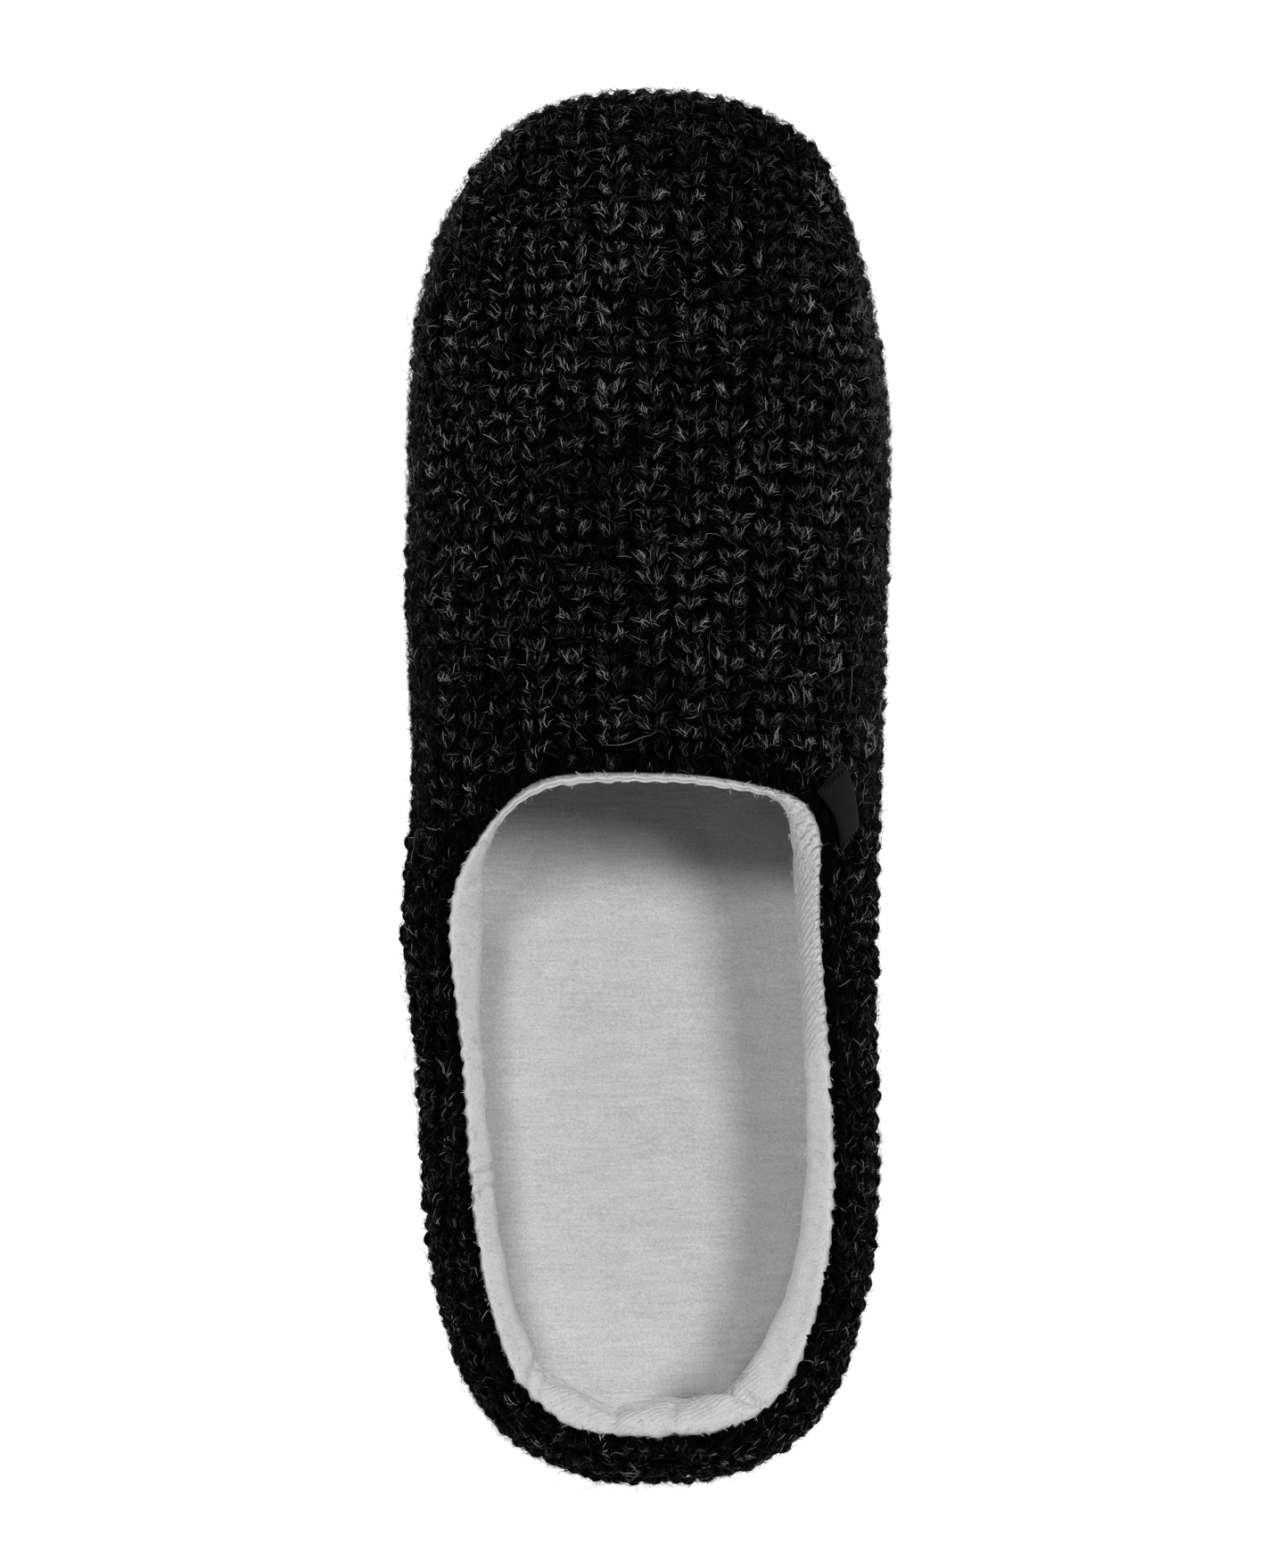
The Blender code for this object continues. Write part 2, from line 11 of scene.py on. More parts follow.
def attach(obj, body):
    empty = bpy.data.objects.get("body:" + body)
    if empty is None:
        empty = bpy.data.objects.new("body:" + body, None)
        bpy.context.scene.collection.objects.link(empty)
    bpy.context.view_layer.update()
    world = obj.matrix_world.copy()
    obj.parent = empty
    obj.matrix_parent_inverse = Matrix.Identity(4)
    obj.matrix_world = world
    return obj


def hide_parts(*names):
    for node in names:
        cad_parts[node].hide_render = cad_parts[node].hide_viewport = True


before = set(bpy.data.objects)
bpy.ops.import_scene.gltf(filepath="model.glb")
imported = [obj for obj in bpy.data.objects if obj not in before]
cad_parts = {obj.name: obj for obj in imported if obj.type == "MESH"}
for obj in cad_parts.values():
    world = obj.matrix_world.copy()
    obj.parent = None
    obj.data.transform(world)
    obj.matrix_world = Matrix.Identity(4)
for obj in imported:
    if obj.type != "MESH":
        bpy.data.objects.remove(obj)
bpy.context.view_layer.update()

mm = 0.001
up = np.array([0.0, 0.0, 1.0])


# ways to make meshes

def unit(v):
    return v / np.maximum(np.linalg.norm(v, axis=-1, keepdims=True), 1e-12)


def soften(x, low, high):
    t = np.clip((x - low) / (high - low), 0, 1)
    return t * t * (3 - 2 * t)


def bump(x, middle, reach):
    return np.exp(-((x - middle) / reach) ** 2)


def ripple(points, seed, waves=24, scale=1.0):
    # smooth noise about 0, made of plane waves whose lengths lie near scale
    draw = np.random.default_rng(seed)
    total = np.zeros(len(points))
    for k in range(waves):
        way = unit(draw.normal(size=points.shape[1]))
        total += np.sin(points @ way * 2 * math.pi / (scale * draw.uniform(0.6, 1.8)) + draw.uniform(0, 6.28))
    return total / math.sqrt(waves / 2)


def smoothCopy(nodeName, levels):
    # a CAD node's mesh, merged, its triangles joined to quads, then subdivided
    form = bmesh.new()
    form.from_mesh(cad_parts[nodeName].data)
    bmesh.ops.remove_doubles(form, verts=form.verts, dist=1e-6)
    bmesh.ops.join_triangles(form, faces=form.faces, angle_face_threshold=3.1, angle_shape_threshold=3.1)
    mesh = bpy.data.meshes.new(nodeName + "_fine")
    form.to_mesh(mesh)
    form.free()
    holder = bpy.data.objects.new(nodeName + "_fine", mesh)
    bpy.context.scene.collection.objects.link(holder)
    finer = holder.modifiers.new("finer", "SUBSURF")
    finer.levels = finer.render_levels = levels
    finer.boundary_smooth = "PRESERVE_CORNERS"
    graph = bpy.context.evaluated_depsgraph_get()
    made = bpy.data.meshes.new_from_object(holder.evaluated_get(graph))
    bpy.data.objects.remove(holder)
    return made


def pointsOf(mesh):
    flat = np.empty(len(mesh.vertices) * 3, np.float32)
    mesh.vertices.foreach_get("co", flat)
    return flat.reshape(-1, 3).astype(float)


def normalsOf(mesh):
    flat = np.empty(len(mesh.vertices) * 3, np.float32)
    mesh.vertex_normals.foreach_get("vector", flat)
    return flat.reshape(-1, 3).astype(float)


def setPoints(mesh, points):
    mesh.vertices.foreach_set("co", np.asarray(points, np.float32).ravel())
    mesh.update()


def treeOf(mesh):
    return BVHTree.FromPolygons([v.co for v in mesh.vertices], [p.vertices[:] for p in mesh.polygons])


def setAttribute(mesh, name, values):
    kind = "FLOAT_VECTOR" if values.ndim == 2 else "FLOAT"
    layer = mesh.attributes.new(name, kind, "POINT")
    layer.data.foreach_set("vector" if values.ndim == 2 else "value", values.astype(np.float32).ravel())


def repeated(name, shapePoints, shapeFaces, attributes):
    # shapePoints holds the placed points of each copy, (copies, points, 3); shapeFaces is one copy's
    copies, size = shapePoints.shape[:2]
    mesh = bpy.data.meshes.new(name)
    mesh.vertices.add(copies * size)
    mesh.vertices.foreach_set("co", shapePoints.astype(np.float32).ravel())
    shift = np.arange(copies)[:, None] * size
    loops, sizes = [], []
    for faces in shapeFaces:
        loops.append((faces.ravel()[None] + shift).ravel())
        sizes.append(np.full(copies * len(faces), faces.shape[1]))
    loops, sizes = np.concatenate(loops), np.concatenate(sizes)
    mesh.loops.add(len(loops))
    mesh.loops.foreach_set("vertex_index", loops.astype(np.int32))
    mesh.polygons.add(len(sizes))
    mesh.polygons.foreach_set("loop_start", np.concatenate([[0], np.cumsum(sizes)[:-1]]).astype(np.int32))
    mesh.update(calc_edges=True)
    for key, values in attributes.items():
        setAttribute(mesh, key, values.reshape(copies * size, -1) if values.ndim == 3 else values.ravel())
    mesh.shade_smooth()
    return mesh


def beadShape(around, along):
    # a closed ball: for each point its place along 0..1, and the unit vector round it
    form = bmesh.new()
    bmesh.ops.create_uvsphere(form, u_segments=around, v_segments=along, radius=1)
    form.verts.ensure_lookup_table()
    ball = np.array([v.co for v in form.verts])
    faces = [
        np.array([[v.index for v in f.verts] for f in form.faces if len(f.verts) == sides])
        for sides in (3, 4)
    ]
    form.free()
    turn = np.arccos(np.clip(ball[:, 2], -1, 1)) / math.pi
    return turn, ball[:, :2], faces


def gridMesh(name, points, values):
    # a grid bent to the given points, (rows, columns, 3), and closed where its edges meet
    rows, columns = points.shape[:2]
    form = bmesh.new()
    bmesh.ops.create_grid(form, x_segments=columns - 1, y_segments=rows - 1, size=1)
    layers = {key: form.verts.layers.float.new(key) for key in values}
    for k, vertex in enumerate(form.verts):
        vertex.co = points[k // columns, k % columns]
        for key, layer in layers.items():
            vertex[layer] = values[key][k // columns, k % columns]
    bmesh.ops.remove_doubles(form, verts=form.verts, dist=1e-6)
    bmesh.ops.recalc_face_normals(form, faces=form.faces)
    mesh = bpy.data.meshes.new(name)
    form.to_mesh(mesh)
    form.free()
    mesh.shade_smooth()
    return mesh


def sweptBeads(name, lines, normals, radii, bead, tone, flat=0.85):
    # a closed bead bent along each line; lines and normals are (beads, steps, 3)
    turn, ring, faces = bead
    at = turn * (lines.shape[1] - 1)
    low = np.minimum(at.astype(int), lines.shape[1] - 2)
    part = (at - low)[None, :, None]
    middle = lines[:, low] * (1 - part) + lines[:, low + 1] * part
    out = unit(normals[:, low] * (1 - part) + normals[:, low + 1] * part)
    course = np.gradient(lines, axis=1)
    sideways = unit(np.cross(course[:, low] * (1 - part) + course[:, low + 1] * part, out))
    angle = np.arctan2(ring[:, 1], ring[:, 0])
    girth = radii[:, None] * np.maximum(np.sin(math.pi * turn), 0)[None] ** 0.6
    points = middle + sideways * (girth * np.cos(angle))[..., None] + out * (girth * flat * np.sin(angle))[..., None]
    seeds = np.arange(len(lines))[:, None] * 7.3
    fibre = np.stack([turn[None] * 5 + seeds, np.cos(angle)[None] + seeds, np.sin(angle)[None] + seeds * 2], -1)
    return repeated(name, points, faces, {"fibre": fibre, "tone": np.repeat(tone[:, None], len(turn), 1)})


def spotsOver(mesh, keep, count, seed):
    # places spread evenly over the triangles whose corners are all kept, with their normals
    mesh.calc_loop_triangles()
    corners = np.empty(len(mesh.loop_triangles) * 3, np.int32)
    mesh.loop_triangles.foreach_get("vertices", corners)
    corners = corners.reshape(-1, 3)
    corners = corners[keep[corners].all(1)]
    points, normals = pointsOf(mesh), normalsOf(mesh)
    a, b, c = (points[corners[:, k]] for k in range(3))
    size = np.linalg.norm(np.cross(b - a, c - a), axis=1)
    draw = np.random.default_rng(seed)
    chosen = corners[draw.choice(len(corners), count, p=size / size.sum())]
    share = draw.dirichlet((1, 1, 1), count)[..., None]
    return (points[chosen] * share).sum(1), unit((normals[chosen] * share).sum(1))


def stripsMesh(name, lines, normals, widths, shades):
    # lines is (strips, steps, 3): each becomes a flat strip that narrows at both ends
    count, steps = lines.shape[:2]
    direction = unit(np.gradient(lines, axis=1))
    sideways = unit(np.cross(direction, normals))
    taper = np.sin(math.pi * np.linspace(0.12, 0.88, steps))[None, :, None]
    half = widths[:, None, None] / 2 * taper
    points = np.stack([lines - sideways * half, lines + sideways * half], 2).reshape(count, steps * 2, 3)
    faces = np.array([[2 * k, 2 * k + 1, 2 * k + 3, 2 * k + 2] for k in range(steps - 1)])
    return repeated(name, points, [faces], {"tone": np.repeat(shades[:, None], steps * 2, 1)})


def hairLines(places, normals, lengths, rise, steps, draw):
    # curved hairs that leave the surface at a slant, each in its own direction
    way = draw.normal(size=places.shape)
    way = unit(way - normals * np.einsum("ij,ij->i", way, normals)[:, None])
    bend = np.cross(way, normals) * draw.normal(0, 0.35, len(places))[:, None]
    lean = way + normals * rise[:, None]
    t = np.linspace(0, 1, steps)[None, :, None]
    reach = lengths[:, None, None]
    return places[:, None] + reach * (lean[:, None] * t + bend[:, None] * t * t)


def addPiece(name, mesh, material, replaced=()):
    piece = bpy.data.objects.new(name, mesh)
    bpy.context.scene.collection.objects.link(piece)
    mesh.materials.clear()
    mesh.materials.append(material)
    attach(piece, "root")
    if replaced:
        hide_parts(*replaced)
    print(f"{name}: {sum(len(p.vertices) - 2 for p in mesh.polygons)} triangles")
    return piece


# ways to make materials

def colour(code):
    parts = [int(code[i:i + 2], 16) / 255 for i in (1, 3, 5)]
    return (*[c / 12.92 if c <= 0.04045 else ((c + 0.055) / 1.055) ** 2.4 for c in parts], 1)


def addNode(tree, kind, inputs=None, **settings):
    node = tree.nodes.new(kind)
    for name, value in settings.items():
        setattr(node, name, value)
    for name, value in (inputs or {}).items():
        if isinstance(value, bpy.types.NodeSocket):
            tree.links.new(value, node.inputs[name])
        else:
            node.inputs[name].default_value = value
    return node


def newMaterial(name, **shaderInputs):
    material = bpy.data.materials.new(name)
    material.use_nodes = True
    shader = material.node_tree.nodes["Principled BSDF"]
    for key, value in shaderInputs.items():
        shader.inputs[key.replace("_", " ")].default_value = value
    return material, material.node_tree, shader


def ramp(tree, fac, stops):
    node = addNode(tree, "ShaderNodeValToRGB", {"Fac": fac})
    while len(node.color_ramp.elements) < len(stops):
        node.color_ramp.elements.new(0.5)
    for element, (at, shade) in zip(node.color_ramp.elements, stops):
        element.position = at
        element.color = shade
    return node.outputs["Color"]


# camera: straight above, toe up, one picture pixel is 0.1788 mm at 25 mm above the floor

view = {
    "distance": 2.0, "level": 25 * mm, "pixel": 0.1788 * mm, "picture": (1440, 1759),
    "originAt": (725, 880),
}
camera = bpy.data.cameras.new("camera")
cameraObject = bpy.data.objects.new("camera", camera)
bpy.context.scene.collection.objects.link(cameraObject)
cameraObject.location = (0, 0, view["level"] + view["distance"])
camera.sensor_fit = "VERTICAL"
camera.sensor_height = 24
camera.lens = 24 * view["distance"] / (view["picture"][1] * view["pixel"])
camera.shift_x = -(view["originAt"][0] - view["picture"][0] / 2) / view["picture"][1]
camera.shift_y = (view["originAt"][1] - view["picture"][1] / 2) / view["picture"][1]
bpy.context.scene.camera = cameraObject
bpy.context.scene.view_settings.view_transform = "Standard"


# the skin that the knit follows

skin = smoothCopy("upper", 2)
skinPoints, skinNormals = pointsOf(skin), normalsOf(skin)
skinTree = treeOf(skin)
core = np.stack([np.zeros(len(skinPoints)), np.clip(skinPoints[:, 1], -95 * mm, 95 * mm), np.full(len(skinPoints), 27 * mm)], 1)
outside = np.einsum("ij,ij->i", skinNormals, skinPoints - core) > 0
print("skin:", len(skinPoints), "points")


def onSkin(spot):
    place, normal, _, _ = skinTree.find_nearest(Vector(spot))
    return np.array(place), np.array(normal)


def sectionAt(centre, heading):
    # the outside from the sole's edge up to the collar or the crown, in one upright plane
    spots = []
    for rise in np.radians(np.linspace(-40, 90, 200)):
        way = heading * math.cos(rise) + up * math.sin(rise)
        place, normal, _, _ = skinTree.ray_cast(Vector(centre + way * 0.15), Vector(-way), 0.1495)
        if place is not None and normal.dot(Vector(way)) > 0 and normal.z > -0.75:
            spots.append(place)
    return np.array(spots)


def lengthsAlong(points):
    return np.concatenate([[0], np.cumsum(np.linalg.norm(np.diff(points, axis=0), axis=1))])


def readLine(points, at):
    run = lengthsAlong(points)
    return np.stack([np.interp(at, run, points[:, k]) for k in range(3)], axis=-1)


# where the wales run: columns of stitches from the heel's seam to the toe's sole edge

knit = {
    "throatY": 3.5 * mm, "cornerY": -26.5 * mm, "heelY": -95 * mm,
    "walePitch": 7.9 * mm, "rowPitch": 4.2 * mm, "crownWaleX": 0.9 * mm, "leastGap": 5.0 * mm,
    "stationStep": 2.5 * mm, "heelStations": 30, "rimRoom": 3.2 * mm, "soleRoom": 1.6 * mm,
    "openGap": 6.2 * mm, "seamX": 5.7 * mm,
}
level = 25 * mm


def wallStations(side):
    ys = np.arange(knit["throatY"], knit["heelY"], -knit["stationStep"])
    made = [(np.array([0, y, level]), np.array([side, 0.0, 0.0])) for y in ys]
    # the heel's seam stands a little towards the big toe's side
    last = math.pi / 2 - side * math.asin(knit["seamX"] / (43 * mm))
    for turn in np.linspace(0, last, knit["heelStations"]):
        made.append((np.array([0, knit["heelY"], level]), np.array([side * math.cos(turn), -math.sin(turn), 0])))
    return made


# the upper's lowest edge, found by rays from the side all round
edgeLine = []
for turn in np.radians(np.arange(0, 360, 3)):
    middleY = np.clip(200 * mm * math.sin(turn), -85 * mm, 85 * mm)
    section = sectionAt(np.array([0, middleY, level]), np.array([math.cos(turn), math.sin(turn), 0]))
    edgeLine.append(section[0])
edgeFinder = KDTree(len(edgeLine))
for i, place in enumerate(edgeLine):
    edgeFinder.insert(Vector((place[0], place[1], 0)), i)
edgeFinder.balance()


def aboveSole(spot):
    near = edgeFinder.find_n(Vector((spot[0], spot[1], 0)), 2)
    return spot[2] - (edgeLine[near[0][1]][2] + edgeLine[near[1][1]][2]) / 2


def traceOver(spot, sign, stop=None):
    # straight ahead on top of the foot, round and down over the toe
    path = [spot]
    for _ in range(400):
        place, n = onSkin(path[-1])
        ahead = unit(np.array([0, n[2], -n[1]])) * (1 - n[0] ** 2)
        along = unit(np.array([0, 1.0, 0]) - n * n[1]) * n[0] ** 6
        step, n = onSkin(place + unit(ahead + along) * sign * knit["rowPitch"] / 4)
        if aboveSole(step) < knit["soleRoom"] or n[2] < -0.85 or (stop and stop(step)):
            break
        path.append(step)
    return np.array(path)


wales = []
for side in (-1, 1):
    sections = [sectionAt(*station) for station in wallStations(side)]
    lengths = np.array([lengthsAlong(section)[-1] for section in sections])
    cornerAt = int((knit["throatY"] - knit["cornerY"]) / knit["stationStep"])
    girths = lengths[0] - np.arange(0 if side > 0 else 1, 12) * knit["walePitch"] - knit["crownWaleX"] * side
    girths = girths[girths > knit["soleRoom"] + 1.0 * mm]
    # behind the throat's corner the wales share out the wall, the top one just below the rim
    top = max(g for g in girths if g < lengths[cornerAt] - knit["rimRoom"])
    for girth in girths:
        back = []
        for i, section in enumerate(sections):
            squeeze = (lengths[i] - knit["rimRoom"]) / top
            at = girth * (1 + (squeeze - 1) * soften(i / cornerAt, 0.3, 1))
            if at > lengths[i] - knit["rimRoom"] + 0.1 * mm:
                break
            back.append(readLine(section, at))
        seed = readLine(sections[0], girth)
        wales.append({"seed": seed, "back": np.array(back[1:]).reshape(-1, 3), "forward": traceOver(seed, 1)})
wales.sort(key=lambda wale: abs(wale["seed"][0]))

cells = {"place": [], "along": [], "normal": [], "wale": []}


def nearestCell(spot, wale):
    # distance to the nearest stitch of another wale
    places = np.array(cells["place"])
    if not len(places):
        return 1.0
    others = np.array(cells["wale"]) != wale
    return np.linalg.norm(places[others] - spot, axis=1).min() if others.any() else 1.0


def addCells(number, wale):
    found = {key: [] for key in cells}
    for sign, line in ((1, wale["forward"]), (-1, np.concatenate([[wale["seed"]], wale["back"]]))):
        if len(line) < 2:
            continue
        # neighbouring wales don't keep quite in step
        late = 0.28 * math.sin(number * 2.4) * sign
        steps = (np.arange(0 if sign > 0 else 1, lengthsAlong(line)[-1] / knit["rowPitch"] - late) + late) * knit["rowPitch"]
        steps = np.maximum(steps, 0)
        tangents = unit(readLine(line, steps + 0.8 * mm) - readLine(line, np.maximum(steps - 0.8 * mm, 0))) * sign
        for spot, tangent in zip(readLine(line, steps), tangents):
            place, n = onSkin(spot)
            if nearestCell(place, number) < knit["leastGap"]:
                continue
            for key, value in (("place", place), ("along", unit(tangent - n * (tangent @ n))), ("normal", n), ("wale", number)):
                found[key].append(value)
    for key in cells:
        cells[key] += found[key]


for number, wale in enumerate(wales):
    addCells(number, wale)

# short wales fill what the straight ones leave open at the toe's corners
openSpots = skinPoints[outside & (skinPoints[:, 1] > 30 * mm)]
openSpots = np.array([spot for spot in openSpots[::3] if aboveSole(spot) > knit["soleRoom"] + 1.5 * mm])
for number in range(len(wales), len(wales) + 40):
    places = np.array(cells["place"])
    gaps = np.array([np.linalg.norm(places - spot, axis=1).min() for spot in openSpots])
    if gaps.max() < knit["openGap"]:
        break
    seed = openSpots[gaps.argmax()]
    stop = lambda spot: nearestCell(spot, number) < knit["leastGap"]
    wale = {"seed": seed, "forward": traceOver(seed, 1, stop), "back": traceOver(seed, -1, stop)[1:].reshape(-1, 3)}
    addCells(number, wale)
cell = {key: np.array(value) for key, value in cells.items()}
cell["across"] = np.cross(cell["along"], cell["normal"])
print("wales:", int(cell["wale"].max()) + 1, "stitches:", len(cell["place"]))

# how much room each stitch has beside it
finder = KDTree(len(cell["place"]))
for i, place in enumerate(cell["place"]):
    finder.insert(Vector(place), i)
finder.balance()
room = np.full(len(cell["place"]), knit["walePitch"])
for i, place in enumerate(cell["place"]):
    for _, j, _ in finder.find_n(Vector(place), 12):
        gap = cell["place"][j] - place
        if cell["wale"][j] != cell["wale"][i] and abs(gap @ cell["along"][i]) < 0.6 * knit["rowPitch"]:
            room[i] = min(room[i], abs(gap @ cell["across"][i]))
cell["room"] = np.maximum(room, 4.2 * mm)


def calmness(places, normals):
    # the knit lies flat and dense where it turns down over the toe, and a little so down the sides
    steep = soften(1 - np.abs(normals[:, 2]), 0.4, 0.8)
    return steep * (0.3 + 0.7 * soften(places[:, 1], 30 * mm, 75 * mm))


cell["calm"] = calmness(cell["place"], cell["normal"])


# the yarn

# black marl wool blend, loosely spun: nearly black, with pale grey fibres that run along the yarn
def yarnMaterial(name, stops):
    material, tree, shader = newMaterial(
        name, Roughness=0.95, Specular_IOR_Level=0.02, Sheen_Weight=0.004, Sheen_Roughness=0.5,
    )
    shader.inputs["Sheen Tint"].default_value = colour("#8C8C8C")
    fibre = addNode(tree, "ShaderNodeAttribute", attribute_name="fibre").outputs["Vector"]
    # this attribute holds the yarn's marl times darkening(), so painted shade on the outer side is in it
    tone = addNode(tree, "ShaderNodeAttribute", attribute_name="tone").outputs["Fac"]
    # fibre holds millimetres along and round the yarn: streaks 3 mm long and 0.2 mm wide
    stretched = addNode(tree, "ShaderNodeMapping", {"Vector": fibre, "Scale": (0.35, 4.5, 4.5)}).outputs["Vector"]
    streaks = addNode(
        tree, "ShaderNodeTexNoise", {"Vector": stretched, "Scale": 1.0, "Detail": 2.0, "Roughness": 0.6},
    ).outputs["Fac"]
    depth = addNode(tree, "ShaderNodeMath", {0: tone, 1: 0.22, 2: streaks}, operation="MULTIPLY_ADD").outputs["Value"]
    tree.links.new(ramp(tree, depth, stops), shader.inputs["Base Color"])
    furrows = addNode(tree, "ShaderNodeBump", {"Height": streaks, "Strength": 0.8, "Distance": 0.0003}).outputs["Normal"]
    tree.links.new(furrows, shader.inputs["Normal"])
    return material


yarn = yarnMaterial("blackMarlYarn", [
    (0.50, colour("#020202")), (0.64, colour("#070707")), (0.78, colour("#1B1B1B")), (0.92, colour("#444444")),
])
# the loops sunk between the wales, and the shell under them, take the same yarn coloured darker: painted shade in the
# recesses
underYarn = yarnMaterial("shadedMarlYarn", [
    (0.50, colour("#010101")), (0.72, colour("#060606")), (0.90, colour("#1C1C1C")),
])

stitch = {
    "width": 5.7 * mm, "reach": 3.3 * mm, "radius": 0.88 * mm, "sunk": 1.45 * mm, "crown": 1.1 * mm,
    "apexGap": 0.1 * mm, "flat": 0.85, "jitter": 0.32 * mm, "turn": 0.13,
}
under = {
    "width": 7.4 * mm, "reach": 3.2 * mm, "radius": 1.0 * mm, "sunk": 2.0 * mm, "crown": 1.1 * mm,
    "apexGap": 0.3 * mm, "flat": 0.85, "jitter": 0.3 * mm, "turn": 0.15,
}


def makeLegs(cell, hand, sizes, seed, shift=0.0):
    # one slanting leg of each stitch's V: its line is given by five numbers a leg
    draw = np.random.default_rng(seed)
    count = len(cell["place"])
    tilt = draw.normal(0, sizes["turn"], count)[:, None]
    along = cell["along"] * np.cos(tilt) + cell["across"] * np.sin(tilt)
    across = np.cross(along, cell["normal"])
    width = np.minimum(sizes["width"], cell["room"] * 0.92) * draw.normal(1, 0.08, count)
    shrink = np.minimum(1, width / (5.2 * mm))
    return {
        "place": cell["place"] + cell["along"] * shift + draw.normal(0, sizes["jitter"], (count, 3)) * 0.8,
        "along": along, "across": across, "normal": cell["normal"], "hand": hand, "sizes": sizes,
        "width": width, "reach": sizes["reach"] * draw.normal(1, 0.08, count),
        "radius": sizes["radius"] * shrink * draw.normal(1, 0.07, count),
        "lift": draw.normal(0, 0.14 * mm, count) - 0.55 * mm * cell["calm"], "phase": draw.uniform(0, 900, (count, 3)),
        # a leg's tone is its marl times darkening(), which carries painted shade on the outer side
        "tone": np.clip(0.55 * draw.beta(1.2, 2.0, count) + 0.5 * cell["shade"], 0, 1) * cell["dark"],
    }


def legLine(legs, pick, t):
    # points of the middle lines of the picked legs; t is (picked, steps), 0 at the V's apex
    sizes = legs["sizes"]
    half = legs["width"][pick, None] / 2
    side = legs["hand"] * (sizes["apexGap"] + (half - sizes["apexGap"]) * t ** 0.9)
    ahead = legs["reach"][pick, None] * (t ** 1.15 - 0.5)
    rise = -sizes["sunk"] + sizes["crown"] * np.sin(math.pi * np.clip(0.04 + 0.92 * t, 0, 1)) ** 0.7 + legs["lift"][pick, None]
    return (
        legs["place"][pick, None] + legs["across"][pick, None] * side[..., None]
        + legs["along"][pick, None] * ahead[..., None] + legs["normal"][pick, None] * rise[..., None]
    )


def legSurface(legs, pick, t, angle, lift=0.0):
    # points on the yarn; angle is round it, 0 to the side and a quarter turn straight out
    line = legLine(legs, pick, t)
    direction = unit(
        legs["across"][pick] * (legs["hand"] * legs["width"][pick, None] / 2) + legs["along"][pick] * legs["reach"][pick, None]
    )
    sideways = np.cross(direction, legs["normal"][pick])[:, None]
    girth = legs["radius"][pick, None] * np.maximum(np.sin(math.pi * np.clip(t, 0, 1)), 0) ** 0.6 + lift
    return (
        line + sideways * (girth * np.cos(angle))[..., None]
        + legs["normal"][pick, None] * (girth * legs["sizes"]["flat"] * np.sin(angle))[..., None]
    )


def legsMesh(name, sets, bead, chosen):
    turn, ring, faces = bead
    angle = np.arctan2(ring[:, 1], ring[:, 0])
    points, fibre, tone = [], [], []
    for legs in sets:
        pick = np.nonzero(chosen)[0]
        t = np.broadcast_to(turn, (len(pick), len(turn)))
        points.append(legSurface(legs, pick, t, np.broadcast_to(angle, t.shape)))
        round_ = legs["radius"][pick, None] / mm
        fibre.append(np.stack([
            t * 4.5 + legs["phase"][pick, :1], round_ * np.cos(angle) + legs["phase"][pick, 1:2] + t * 1.2,
            round_ * np.sin(angle) + legs["phase"][pick, 2:],
        ], -1))
        tone.append(np.repeat(legs["tone"][pick, None], len(turn), 1))
    return repeated(name, np.concatenate(points), faces, {"fibre": np.concatenate(fibre), "tone": np.concatenate(tone)})


# the opening's rim, read every half degree round its middle

opening = {"middle": np.array([0.0, -60 * mm]), "columns": 720, "rimIn": 2.1 * mm, "rimDeep": 2.0 * mm}
degrees = np.arange(opening["columns"]) * 360 / opening["columns"] - 180
ways = np.stack([np.cos(np.radians(degrees)), np.sin(np.radians(degrees)), np.zeros(len(degrees))], 1)


def heightAt(tree, spot):
    place = tree.ray_cast(Vector((spot[0], spot[1], 0.2)), Vector((0, 0, -1)))[0]
    return -1.0 if place is None else place.z


def planSpot(column, radius, height=0.0):
    return np.array([*(opening["middle"] + ways[column, :2] * radius), height])


def edgeRadius(column):
    # how far out the knit's inner edge stands, seen from above
    far = 25 * mm
    while heightAt(skinTree, planSpot(column, far)) < 35 * mm:
        far += 1 * mm
    near = far - 1 * mm
    for _ in range(7):
        half = (near + far) / 2
        near, far = (near, half) if heightAt(skinTree, planSpot(column, half)) > 35 * mm else (half, far)
    return far


def roundMean(values, reach):
    # a running mean that goes round
    window = np.ones(2 * reach + 1) / (2 * reach + 1)
    return np.convolve(np.concatenate([values[-reach:], values, values[:reach]]), window, "valid")


columns = range(opening["columns"])
innerEdge = roundMean(np.array([edgeRadius(k) for k in columns]), 2)
rimTilts = np.radians([-75, -45, -15, 15, 45, 75])
rim = []
for k in columns:
    radius = innerEdge[k] + opening["rimIn"]
    start = planSpot(k, radius, heightAt(skinTree, planSpot(k, radius)) - opening["rimDeep"])
    hits = []
    for tilt in rimTilts:
        way = ways[k] * math.sin(tilt) + up * math.cos(tilt)
        place, n, _, away = skinTree.ray_cast(Vector(start), Vector(way), 6 * mm)
        hits.append((start + way * 2.2 * mm, way) if place is None else (np.array(place), way))
    rim.append(hits)
# a running median leaves out the rays that slip past the rim
rim = np.median([np.roll(rim, turn, 0) for turn in range(-5, 6)], 0)
rimPlaces, rimNormals = rim[:, :, 0], unit(rim[:, :, 1])
rimFinder = KDTree(opening["columns"])
for k in columns:
    rimFinder.insert(Vector(rimPlaces[k, 2]), k)
rimFinder.balance()
print("rim:", round(float(innerEdge.min() / mm), 1), "to", round(float(innerEdge.max() / mm), 1), "mm out")


def fromRim(places):
    return np.array([rimFinder.find(Vector(place))[2] for place in places])
